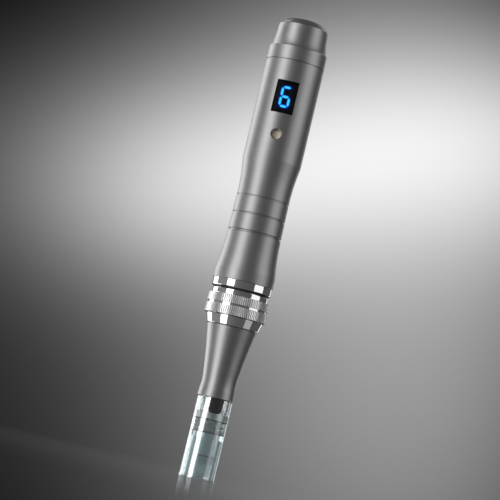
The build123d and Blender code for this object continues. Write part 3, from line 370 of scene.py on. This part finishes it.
# %% [markdown]
# ## Sintered bronze
# The two bushes are pressed from bronze powder, so their skin is full of tiny pores that
# hold oil. A cell pattern, cut off at a threshold, gives round pores.

# %% Sintered bronze
PORE_SPACING = 0.18 * MM
PORE_RADIUS = 0.28

bronze = Finish("sintered_bronze")
cells = bronze.node(
    "ShaderNodeTexVoronoi", {}, {"Vector": bronze.place, "Scale": 1 / PORE_SPACING}
)
pores = bronze.maths("LESS_THAN", cells, PORE_RADIUS)
bronze.set(
    {
        "Base Color": mixed(bronze, pores, (0.50, 0.33, 0.16), (0.16, 0.10, 0.05)),
        "Metallic": 1.0 - 0.7 * pores,
        "Roughness": 0.42 + 0.3 * pores,
    }
)
bumped(bronze, 1.0 - pores, 0.5, 0.02 * MM)
dress(bronze, "upper_bush", "lower_bush")

# %% [markdown]
# ## Magnets and the armature's core
# The magnets are ferrite, dull and nearly black. The armature is a stack of thin steel
# sheets, which shows as even lines across the axis, so a sine of the height carries them.

# %% Ferrite
CRUMB_SIZE = 0.3 * MM

ferrite = Finish("ferrite")
crumbs = noise(ferrite, CRUMB_SIZE, 4.0)
ferrite.set(
    {
        "Base Color": mixed(ferrite, crumbs, (0.035, 0.034, 0.034), (0.10, 0.10, 0.10)),
        "Metallic": 0.2,
        "Roughness": 0.55 + 0.2 * crumbs,
    }
)
bumped(ferrite, crumbs, 0.4, 0.03 * MM)
dress(ferrite, "magnets")

# %% Sheet stack
SHEET_PITCH = 0.5 * MM
RUST_SIZE = 1.5 * MM

stack = Finish("sheet_stack")
height = parts(stack)[2]
wave = stack.maths("SINE", height * (2 * math.pi / SHEET_PITCH))
rust = noise(stack, RUST_SIZE, 3.0)
stack.set(
    {
        "Base Color": mixed(stack, rust, (0.20, 0.20, 0.21), (0.38, 0.37, 0.36)),
        "Metallic": 0.9,
        "Roughness": 0.38 + 0.08 * wave + 0.1 * rust,
    }
)
bumped(stack, wave, 0.6, 0.05 * MM)
dress(stack, "armature")

# %% [markdown]
# ## The clear cartridge
# The cartridge is moulded in clear plastic with a teal cast. Light enters its thick wall,
# bends, and shows what lies behind it, drawn out along the edges. That bending is what
# makes it look like plastic and not like a coloured film, so the solids get a real
# refracting shader. A strong coat gives the two hard bright stripes down its side. Faint
# flow marks from the mould change the tint and the gloss a little. Where two mouldings
# meet, a seam shows as a thin dark line, and the socket's upper end is frosted.

# %% Clear plastic
SEAM_WIDTH = 0.42 * MM
SEAM_SHADE = (0.03, 0.04, 0.045)
SOCKET_SEAMS = (18.78, 23.9)
SOCKET_FROST = (24.0, 26.9)
FROST_GLOSS = 0.35
COAT_GLOSS = 0.02
COAT_IOR = 3.6
FLOW_SIZE = 2.5 * MM
FLOW_STRETCH = 4
FLOW_DEPTH = 0.02 * MM
DUST_SIZE = 0.3 * MM
PALE_GAIN = 1.12


def clear(name, tint, gloss, bend, coat, through, seams=(), frosted=(0, 0)):
    """Plastic that bends light. Seams and the frosted stretch are heights in millimetres."""
    finish = Finish(name)
    z = parts(finish)[2]
    flow = noise(finish, FLOW_SIZE, stretch=(1, 1, FLOW_STRETCH))
    dust = noise(finish, DUST_SIZE, offset=2.0)
    pale = tuple(min(1.0, c * PALE_GAIN) for c in tint)
    plain = mixed(finish, flow, tint, pale)
    above = finish.maths("GREATER_THAN", z, frosted[0] * MM)
    below = finish.maths("LESS_THAN", z, frosted[1] * MM)
    frost = above * below
    for height in seams:
        away = finish.maths("ABSOLUTE", z - height * MM)
        plain = mixed(finish, finish.maths("LESS_THAN", away, SEAM_WIDTH / 2), plain, SEAM_SHADE)
    finish.set(
        {
            "Base Color": plain,
            "Roughness": gloss + 0.02 * flow + 0.015 * dust + FROST_GLOSS * frost,
            "Transmission Weight": through,
            "IOR": bend,
            "Coat Weight": coat,
            "Coat Roughness": COAT_GLOSS,
            "Coat IOR": COAT_IOR,
        }
    )
    bumped(finish, flow, 0.1, FLOW_DEPTH)
    return finish


# %% Cartridge finishes
shell_clear = clear(
    "clear_shell", (0.73, 0.91, 0.97), gloss=0.02, bend=1.40, coat=1.0, through=0.90
)
dress(shell_clear, "cartridge_shell")
socket_clear = clear(
    "clear_socket",
    (0.84, 0.97, 1.00),
    gloss=0.02,
    bend=1.40,
    coat=1.0,
    through=0.96,
    seams=SOCKET_SEAMS,
    frosted=SOCKET_FROST,
)
dress(socket_clear, "cartridge_socket")
carrier_clear = clear(
    "teal_carrier", (0.76, 0.96, 1.00), gloss=0.10, bend=1.35, coat=0.2, through=0.08
)
dress(carrier_clear, "needle_carrier")
plate_clear = clear(
    "teal_plate", (0.50, 0.66, 0.70), gloss=0.12, bend=1.35, coat=0.2, through=0.30
)
dress(plate_clear, "needle_plate")
silicone = clear("silicone", (0.86, 0.96, 0.98), gloss=0.30, bend=1.15, coat=0.0, through=0.45)
dress(silicone, "return_bellows")

# %% [markdown]
# ## Moulded plastics
# Moulded plastic is not one flat colour. Its skin has the fine spark-eroded texture of the
# mould, a slight cloudiness where the melt flowed, and a gloss that wanders with both. One
# recipe with a colour, a gloss and a grain size serves every plastic and rubber piece.

# %% Moulded skin
MELT_CLOUD = 4 * MM
MOULD_DEPTH = 0.02 * MM


def moulded(name, dark, light, gloss, grain_size, depth):
    """Plastic or rubber between two tones, with a grain size in millimetres."""
    finish = Finish(name)
    grain = noise(finish, grain_size * MM)
    cloud = noise(finish, MELT_CLOUD, 3.0, offset=7.0)
    finish.set(
        {
            "Base Color": mixed(finish, 0.35 * grain + 0.65 * cloud, dark, light),
            "Roughness": gloss + 0.12 * (grain - 0.5) + 0.06 * (cloud - 0.5),
        }
    )
    bumped(finish, grain, depth, MOULD_DEPTH)
    return finish


# %% White and cream plastics
white = moulded(
    "white_acetal", (0.70, 0.71, 0.70), (0.82, 0.83, 0.82), gloss=0.40, grain_size=0.25, depth=0.2
)
dress(white, "barrel_cam", "yoke", "rod_tip", "switch_plunger")
cream = moulded(
    "cream_button", (0.88, 0.74, 0.54), (0.97, 0.86, 0.66), gloss=0.42, grain_size=0.18, depth=0.15
)
dress(cream, "power_button")

# %% Black and grey plastics
black = moulded(
    "black_nylon",
    (0.012, 0.012, 0.013),
    (0.03, 0.03, 0.032),
    gloss=0.38,
    grain_size=0.2,
    depth=0.3,
)
dress(black, "mount_key", "end_bell", "tact_switch", "charging_socket")
frame_grey = moulded(
    "glass_filled_grey",
    (0.05, 0.05, 0.055),
    (0.10, 0.10, 0.105),
    gloss=0.5,
    grain_size=0.15,
    depth=0.4,
)
dress(frame_grey, "drive_frame", "battery_cradle")

# %% Rubber, foam and wire insulation
rubber = moulded(
    "black_rubber",
    (0.008, 0.008, 0.008),
    (0.022, 0.022, 0.022),
    gloss=0.62,
    grain_size=0.12,
    depth=0.4,
)
dress(rubber, "friction_ring", "seam_ring", "mount_o_ring", "plate_seal")
foam = moulded(
    "damper_foam", (0.03, 0.03, 0.032), (0.09, 0.09, 0.095), gloss=0.85, grain_size=0.4, depth=1.0
)
dress(foam, "motor_damper")
insulation = moulded(
    "wire_insulation",
    (0.34, 0.02, 0.015),
    (0.50, 0.04, 0.03),
    gloss=0.36,
    grain_size=0.3,
    depth=0.1,
)
dress(insulation, "motor_leads", "socket_leads")

# %% [markdown]
# ## Circuit board and cell
# The board is green solder resist over copper: where a track runs, the resist stands a
# little higher and looks paler. Square cells with a threshold give such tracks. The cell has
# a blue shrink sleeve, drawn tight, with fine wrinkles that run round it.

# %% Circuit board
TRACK_SIZE = 1.6 * MM
TRACK_REACH = 0.42

board = Finish("solder_resist")
squares = board.node(
    "ShaderNodeTexVoronoi",
    {"distance": "CHEBYCHEV"},
    {"Vector": board.place, "Scale": 1 / TRACK_SIZE},
)
tracks = board.maths("LESS_THAN", squares, TRACK_REACH)
board.set(
    {
        "Base Color": mixed(board, tracks, (0.010, 0.085, 0.04), (0.03, 0.17, 0.08)),
        "Roughness": 0.34 - 0.06 * tracks,
        "Coat Weight": 0.4,
    }
)
bumped(board, tracks, 0.5, 0.03 * MM)
dress(board, "circuit_board")

# %% Cell's sleeve
WRINKLE_PITCH = 0.9 * MM

sleeve = Finish("shrink_sleeve")
wrinkles = lathe_lines(sleeve, WRINKLE_PITCH)
sleeve.set(
    {
        "Base Color": mixed(sleeve, wrinkles, (0.03, 0.12, 0.26), (0.06, 0.20, 0.40)),
        "Roughness": 0.26 + 0.1 * wrinkles,
        "Coat Weight": 0.3,
    }
)
bumped(sleeve, wrinkles, 0.3, 0.05 * MM)
dress(sleeve, "battery_cell")

# %% [markdown]
# ## The knurled depth ring
# Two bands of fine knurl give the fingers their grip on the depth ring. The CAD solid has
# plain teeth there. On the real ring each band has two rows of short teeth with flat tops.
# The upper row is staggered by half a tooth, and the teeth lean a little. A grid has four
# columns to a tooth, which are the ends of its root and of its top. The grid is wrapped round
# the axis, and the columns are pushed in or out. A narrow strip in the middle joins the two
# rows. The ends are drawn inwards and joined, which closes each band to a ring.

# %% One knurled band
KNURL_RADIUS = 12.50 * MM
KNURL_TEETH = 96
COLUMN_SHARES = (0.0, 0.20, 0.36, 0.84)
COLUMN_RISES = (0, 0, 1, 1)
TOOTH_HEIGHT = 0.08 * MM
ROW_HEIGHTS = (0.0, 0.48, 0.52, 1.0)
ROW_SHIFTS = (0.0, 0.0, 0.5, 0.5)
KNURL_TWIST = math.radians(2.0)
BAND_BORE = 11.4 * MM
WELD = 0.005 * MM


def knurl_band(bottom, top):
    """A ring of leaning teeth between two heights."""
    columns = len(COLUMN_SHARES) * KNURL_TEETH
    rows = len(ROW_HEIGHTS) - 1
    bpy.ops.object.select_all(action="DESELECT")
    bpy.ops.mesh.primitive_grid_add(
        x_subdivisions=columns, y_subdivisions=rows, size=1, location=(0, 0, 0)
    )
    band = bpy.context.object
    for vertex in band.data.vertices:
        tooth, column = divmod(round((vertex.co.x + 0.5) * columns), len(COLUMN_SHARES))
        row = round((vertex.co.y + 0.5) * rows)
        radius = KNURL_RADIUS - TOOTH_HEIGHT * (1 - COLUMN_RISES[column])
        turn = 2 * math.pi * (tooth + COLUMN_SHARES[column] + ROW_SHIFTS[row]) / KNURL_TEETH
        turn -= KNURL_TWIST * ROW_HEIGHTS[row]
        height = bottom + (top - bottom) * ROW_HEIGHTS[row]
        vertex.co = (radius * math.cos(turn), radius * math.sin(turn), height)
    bpy.ops.object.mode_set(mode="EDIT")
    bpy.ops.mesh.select_all(action="SELECT")
    bpy.ops.mesh.remove_doubles(threshold=WELD)
    bpy.ops.mesh.select_mode(type="EDGE")
    bpy.ops.mesh.select_all(action="DESELECT")
    bpy.ops.mesh.select_non_manifold()
    bpy.ops.mesh.extrude_region_move()
    bpy.ops.transform.resize(
        value=(BAND_BORE / KNURL_RADIUS, BAND_BORE / KNURL_RADIUS, 1), center_override=(0, 0, 0)
    )
    bpy.ops.mesh.bridge_edge_loops()
    bpy.ops.mesh.select_all(action="SELECT")
    bpy.ops.mesh.normals_make_consistent(inside=False)
    bpy.ops.object.mode_set(mode="OBJECT")
    return band


# %% [markdown]
# The roots of the teeth are painted darker, as painted shade between the teeth, and the tops
# keep the steel's own tone with its lathe lines. The distance from the axis tells the two
# apart, so it picks the colour.

# %% Knurled steel
KNURL_LINE_PITCH = 0.3 * MM
PAINTED_ROOT_SHADE = (0.16, 0.16, 0.17)
TOP_DARK = (0.86, 0.86, 0.87)
TOP_LIGHT = (0.98, 0.98, 0.99)

knurled = Finish("knurled_steel")
x, y = parts(knurled)[:2]
tooth_rise = knurled.node(
    "ShaderNodeMapRange",
    {},
    ((x * x + y * y) ** 0.5, KNURL_RADIUS - TOOTH_HEIGHT, KNURL_RADIUS, 0.0, 1.0),
)
knurl_lines = lathe_lines(knurled, KNURL_LINE_PITCH)
top_tone = mixed(knurled, knurl_lines, TOP_DARK, TOP_LIGHT)
# Painted shade: the roots of the teeth get a darker grey than the tops.
knurl_tone = mixed(knurled, tooth_rise, PAINTED_ROOT_SHADE, top_tone)
ground_skin(knurled, knurl_tone, knurl_lines, ground_grain(knurled), gloss=0.31, depth=0.1)
dress(knurled, "depth_ring")

# %% Both bands
BANDS = ((66.25 * MM, 70.05 * MM), (70.95 * MM, 74.25 * MM))

knurl_bands = [knurl_band(*ends) for ends in BANDS]
bpy.ops.object.select_all(action="DESELECT")
for band in knurl_bands:
    band.select_set(True)
bpy.context.view_layer.objects.active = knurl_bands[0]
bpy.ops.object.join()
knurl = bpy.context.object
knurl.name = "knurl_bands"
knurl.data.materials.append(knurled.material)
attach(knurl, "depth_knob")
print(knurl.name, len(knurl.data.polygons), "faces")

# %% [markdown]
# ## Turned pieces
# A turned piece starts as half of its section, seen from the side. A flat circle with one
# vertex for each corner of the section is added, and its vertices are set to the corners.
# A corner bevel rounds them all. Then the outline is spun round the axis.


# %% A section spun round the axis
ROUND_STEPS = 5
SMOOTH_BELOW = math.radians(25)


def turned(name, section, corner_round, steps):
    """Spins a section, whose corners are given as radius and height in millimetres."""
    bpy.ops.object.select_all(action="DESELECT")
    bpy.ops.mesh.primitive_circle_add(
        vertices=len(section), radius=MM, fill_type="NGON", calc_uvs=False, location=(0, 0, 0)
    )
    piece = bpy.context.object
    piece.name = name
    for vertex, (radius, height) in zip(piece.data.vertices, section):
        vertex.co = (radius * MM, 0, height * MM)
    bpy.ops.object.mode_set(mode="EDIT")
    bpy.ops.mesh.select_mode(type="VERT")
    bpy.ops.mesh.select_all(action="SELECT")
    bpy.ops.mesh.bevel(offset=corner_round, segments=ROUND_STEPS, affect="VERTICES")
    bpy.ops.mesh.select_all(action="SELECT")
    bpy.ops.mesh.delete(type="ONLY_FACE")
    bpy.ops.mesh.select_all(action="SELECT")
    bpy.ops.mesh.spin(steps=steps, angle=2 * math.pi, center=(0, 0, 0), axis=(0, 0, 1))
    bpy.ops.mesh.select_all(action="SELECT")
    bpy.ops.mesh.remove_doubles(threshold=WELD)
    bpy.ops.mesh.normals_make_consistent(inside=False)
    bpy.ops.object.mode_set(mode="OBJECT")
    bpy.ops.object.shade_smooth_by_angle(angle=SMOOTH_BELOW)
    return piece


# %% [markdown]
# The rest of the depth ring is turned: a polished groove between the knurled bands and a
# polished bead above them. The bands reach a little into it, so that no gap shows. The
# rounding is wider than its smallest steps and folds them over, inside the bands' ends,
# where it can't be seen.

# %% Ring core
CORE_SECTION = (
    (9.51, 66.25),
    (11.4, 66.25),
    (11.5, 66.4),
    (11.85, 66.4),
    (11.85, 74.1),
    (11.45, 74.25),
    (11.45, 76.55),
    (10.59, 76.55),
    (10.59, 70.95),
    (9.51, 70.95),
)
CORE_ROUND = 0.4 * MM
CORE_STEPS = 160

core = turned("ring_core", CORE_SECTION, CORE_ROUND, CORE_STEPS)
core.data.materials.append(polished.material)
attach(core, "depth_knob")
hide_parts("depth_ring")
print(core.name, len(core.data.polygons), "faces")

# %% [markdown]
# ## Return bellows
# The bellows is a soft spring of silicone that folds up when the needle carrier goes down.
# Its section is a zigzag band with rounded folds, spun round the axis.

# %% Return bellows
BELLOWS_SEAT = 18.63
BELLOWS_TOP = 22.67
FOLD_INNER = 3.45
FOLD_OUTER = 5.25
BELLOWS_WEB = 1.1
BELLOWS_LEGS = 4
FOLD_ROUND = 0.22 * MM
BELLOWS_STEPS = 96

leg_height = (BELLOWS_TOP - BELLOWS_SEAT) / BELLOWS_LEGS
fold_line = [
    (FOLD_OUTER if leg % 2 else FOLD_INNER, BELLOWS_SEAT + leg * leg_height)
    for leg in range(BELLOWS_LEGS + 1)
]
fold_band = fold_line + [(r + BELLOWS_WEB, z) for r, z in reversed(fold_line)]
bellows = turned("folded_bellows", fold_band, FOLD_ROUND, BELLOWS_STEPS)
bellows.data.materials.append(silicone.material)
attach(bellows, "cartridge")
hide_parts("return_bellows")
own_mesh(bellows)
print(bellows.name, len(bellows.data.polygons), "faces")

# %% [markdown]
# ## The smoked lens
# The lens over the display is dark and glossy and lets part of the light through, which a
# low alpha gives. Its own reflection is kept weak, so that the digit stays readable.

# %% Smoked lens
SMEAR_SIZE = 3 * MM

lens = Finish("smoked_lens")
smear = noise(lens, SMEAR_SIZE)
lens.set(
    {
        "Base Color": colour((0.004, 0.004, 0.005)),
        "Roughness": 0.12 + 0.04 * smear,
        "Alpha": 0.34 + 0.02 * smear,
        "Specular IOR Level": 0.06,
    }
)
dress(lens, "display_lens")

# %% [markdown]
# ## The lit digit
# Behind the lens sits a black module with seven bars, and six of them glow to show a six.
# Each bar shines a cold blue, paler in its middle where the lamp sits. The lens and the
# module's face scatter some of that light, so a soft blue halo lies round the bars. Its
# strength falls with the distance to the nearest lit bar, which is worked out from the
# bars' own box.

# %% Distance to the lit bars
BAR_WIDTH = 1.1 * MM
BAR_SHARE = 0.8
lit_low, lit_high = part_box("lit_segments")
digit_middle = (lit_low + lit_high) / 2
half_wide = (lit_high.x - lit_low.x - BAR_WIDTH) / 2
half_high = (lit_high.z - lit_low.z - BAR_WIDTH) / 2
LIT_BARS = (
    (0, 1, "flat"),
    (0, 0, "flat"),
    (0, -1, "flat"),
    (-1, 0.5, "tall"),
    (-1, -0.5, "tall"),
    (1, -0.5, "tall"),
)


def bar_distance(finish):
    """Distance from the surface point to the middle line of the nearest lit bar."""
    x, _, z = parts(finish)
    nearest = None
    for across, along, way in LIT_BARS:
        dx = finish.maths("ABSOLUTE", x - (digit_middle.x + across * half_wide))
        dz = finish.maths("ABSOLUTE", z - (digit_middle.z + along * half_high))
        if way == "flat":
            dx = finish.maths("MAXIMUM", dx - BAR_SHARE * half_wide, 0.0)
        else:
            dz = finish.maths("MAXIMUM", dz - BAR_SHARE * half_high / 2, 0.0)
        away = finish.maths("SQRT", dx * dx + dz * dz)
        nearest = away if nearest is None else finish.maths("MINIMUM", nearest, away)
    return nearest


# %% Bars and halo
def glowing(name, core, edge, reach, strength, base):
    """Light that is core-coloured on a bar's middle line and edge-coloured at its rim."""
    finish = Finish(name)
    fall = finish.maths("EXPONENT", bar_distance(finish) * (-1 / reach))
    finish.set(
        {
            "Base Color": colour(base),
            "Roughness": 0.4,
            "Emission Color": mixed(finish, fall, edge, core),
            "Emission Strength": strength,
        }
    )
    return finish


bar_light = glowing(
    "lit_bar",
    core=(0.04, 0.72, 1.0),
    edge=(0.0, 0.05, 1.0),
    reach=0.45 * MM,
    strength=3.0,
    base=(0.05, 0.1, 0.2),
)
dress(bar_light, "lit_segments")
halo = glowing(
    "module_face",
    core=(0.0, 0.08, 0.9),
    edge=(0.0, 0.0, 0.0),
    reach=0.26 * MM,
    strength=2.4,
    base=(0.002, 0.002, 0.002),
)
dress(halo, "display_module")
unlit = moulded(
    "unlit_bar", (0.015, 0.02, 0.035), (0.03, 0.035, 0.05), gloss=0.4, grain_size=0.2, depth=0.1
)
dress(unlit, "dark_segment")

# %% [markdown]
# ## The floor
# The pen stands on a smooth grey table that mirrors its tip. Seen so flat, even a dull
# surface mirrors strongly, and all its light would be mirrored light. So the table is only
# a thin veil over the backdrop: its alpha is low and fades with the distance from the pen,
# which leaves no hard horizon. The pen's own mirror surfaces see even less of it.

# %% Floor
FLOOR_RADIUS = 1.2
FLOOR_SIDES = 96
FLOOR_FADE_START = 0.03
FLOOR_FADE_END = 0.42
FLOOR_VEIL = 0.3
GLOSSY_SHARE = 0.85
FLOOR_CLOUD = 0.35
FLOOR_DARK = (0.16, 0.16, 0.165)
FLOOR_LIGHT = (0.20, 0.20, 0.205)

bpy.ops.object.select_all(action="DESELECT")
bpy.ops.mesh.primitive_circle_add(
    vertices=FLOOR_SIDES, radius=FLOOR_RADIUS, fill_type="NGON", location=(0, 0, 0)
)
floor = bpy.context.object
floor.name = "floor"
floor_finish = Finish("pale_floor")
floor_cloud = noise(floor_finish, FLOOR_CLOUD)
away_from_pen = floor_finish.node(
    "ShaderNodeVectorMath", {"operation": "LENGTH"}, (floor_finish.place,), output=1
)
floor_fade = floor_finish.node(
    "ShaderNodeMapRange",
    {"interpolation_type": "SMOOTHSTEP"},
    (away_from_pen, FLOOR_FADE_START, FLOOR_FADE_END, 1.0, 0.0),
)
mirror_ray = floor_finish.node("ShaderNodeLightPath", output="Is Glossy Ray")
floor_finish.set(
    {
        "Base Color": mixed(floor_finish, floor_cloud, FLOOR_DARK, FLOOR_LIGHT),
        "Roughness": 0.07 + 0.02 * floor_cloud,
        "Specular IOR Level": 0.01,
        "Alpha": FLOOR_VEIL * floor_fade * (1.0 - GLOSSY_SHARE * mirror_ray),
    }
)
floor.data.materials.append(floor_finish.material)
print("floor across", round(floor.dimensions.x, 1), "m")

# %% [markdown]
# ## The backdrop
# The backdrop belongs to the world. Its nodes know the direction of view, so they can tell
# where in the camera's frame a direction falls. Three soft patches of light and a slope
# towards the right give the picture's greys as they are shown, and a power turns those into
# light.


# %% World nodes
class Sky(Finish):
    """The world's own nodes, with the direction of view as the place."""

    def __init__(self, world):
        self.tree = world.node_tree
        self.shader = self.tree.nodes["Background"]
        self.place = self.node("ShaderNodeTexCoord", output="Generated")


world = bpy.data.worlds.new("studio")
bpy.context.scene.world = world
world.use_nodes = True
sky = Sky(world)


def toward(direction):
    """How far the view turns towards a direction, as a cosine."""
    return sky.node(
        "ShaderNodeVectorMath",
        {"operation": "DOT_PRODUCT"},
        {0: sky.place, 1: tuple(direction)},
        output=1,
    )


# %% Backdrop
HALF_FRAME = PHOTO_WIDTH / 2 / FOCAL_PIXELS
RIGHT_LEVEL = 0.411
WIDE_LEVEL = 5.0
LEFT_LEVEL = 0.263
SLOPE = -1.195
BASE_LEVEL = -2.997
DARKEST_SHOWN = 0.1
SHOWN_POWER = 2.2

ahead = toward(forward)
across = toward(right) / (ahead * HALF_FRAME)
upward = toward(up) / (ahead * HALF_FRAME)


def patch(centre, size):
    """A soft oval patch of light, 1 in its centre, placed in halves of the frame."""
    dx = (across - centre[0]) / size[0]
    dy = (upward - centre[1]) / size[1]
    return sky.maths("EXPONENT", -1.0 * (dx * dx + dy * dy))


right_patch = patch(centre=(1.155, 0.457), size=(1.944, 0.484))
wide_patch = patch(centre=(1.659, -0.228), size=(2.781, 5.241))
left_patch = patch(centre=(-0.384, 0.222), size=(0.693, 0.412))
patches = RIGHT_LEVEL * right_patch + WIDE_LEVEL * wide_patch + LEFT_LEVEL * left_patch
shown = patches + SLOPE * across + BASE_LEVEL
clipped = sky.node("ShaderNodeClamp", {}, (shown, DARKEST_SHOWN, 1.0))
backdrop = clipped**SHOWN_POWER
print("backdrop ready")

# %% [markdown]
# The backdrop ends a little outside the frame. The rest of the world is the studio, an even
# dark grey that the polished collars mirror between the lamps, a little lighter on the left.
# Matt surfaces see one plain grey all round, which keeps the fill light steady.

# %% Studio and fill
WINDOW_START = math.cos(math.radians(24))
WINDOW_END = math.cos(math.radians(12))
STUDIO_GREY = 0.115
SIDE_GLOW = 0.12
SIDE_SLOPE = 0.03
FILL_GREY = 0.36

in_window = sky.node("ShaderNodeMapRange", {}, (ahead, WINDOW_START, WINDOW_END, 0.0, 1.0))
sideways = toward(right)
left_glow = SIDE_GLOW * sky.maths("MAXIMUM", -1.0 * sideways, 0.0)
studio = STUDIO_GREY + left_glow - SIDE_SLOPE * sideways
light = in_window * backdrop + (1.0 - in_window) * studio
matt_ray = sky.node("ShaderNodeLightPath", output="Is Diffuse Ray")
seen = sky.node("ShaderNodeMix", {"data_type": "FLOAT"}, {0: matt_ray, 2: light, 3: FILL_GREY})
sky.set({"Color": sky.node("ShaderNodeCombineColor", {}, (seen, seen, seen))})
print("world ready")

# %% [markdown]
# ## The lamps
# A satin tube shows its lamps as long soft bands. In the photograph there are four: a thin
# bright one on the left edge, a broad one left of the middle, a weaker one on the right and
# a thin one on the right edge. Each is a tall lamp standing at the angle that the tube
# mirrors into the camera. The polished collars show the same four with hard edges, which
# gives their widths. The right band is dimmer low on the pen, so its lamp is made of two,
# with a weak one below. A lamp's power grows with its area, so its strength is given as the
# brightness of its face.

# %% Lamps
LAMP_DISTANCE = 1.0
LAMP_TOP = 1.3
LAMP_BOTTOM = -0.9
RIGHT_LAMP_EDGE = 0.05
LOW_LAMP_BOTTOM = -0.6


def lamp(name, side, width, strength, bottom=LAMP_BOTTOM, top=LAMP_TOP):
    """A tall soft lamp at an angle round the pen, counted from the camera to the right."""
    data = bpy.data.lights.new(name, "AREA")
    data.shape = "RECTANGLE"
    data.size = width
    data.size_y = top - bottom
    data.energy = strength * width * (top - bottom) * math.pi
    made = bpy.data.objects.new(name, data)
    bpy.context.scene.collection.objects.link(made)
    angle = CAMERA_SIDE + math.radians(side)
    place = Vector((math.sin(angle), -math.cos(angle), 0)) * LAMP_DISTANCE
    facing = (-place).to_track_quat("-Z", "Y").to_matrix().to_4x4()
    place.z = (bottom + top) / 2
    made.matrix_world = Matrix.Translation(place) @ facing
    made.visible_camera = False
    print(name, "at", [round(c, 2) for c in place])


lamp("left_front", side=-46, width=0.54, strength=2.3)
lamp("right_front", side=69, width=0.75, strength=1.1, bottom=RIGHT_LAMP_EDGE)
lamp(
    "right_front_low",
    side=66,
    width=0.6,
    strength=0.35,
    bottom=LOW_LAMP_BOTTOM,
    top=RIGHT_LAMP_EDGE,
)
lamp("left_back", side=-129, width=0.66, strength=2.0)
lamp("right_back", side=154, width=0.22, strength=1.2)

# %% [markdown]
# ## Colour
# The colours are shown as they are written, with no film look.

# %% Finish the scene
bpy.context.scene.view_settings.view_transform = "Standard"


def plain(box):
    return [[float(c) for c in corner] for corner in box]
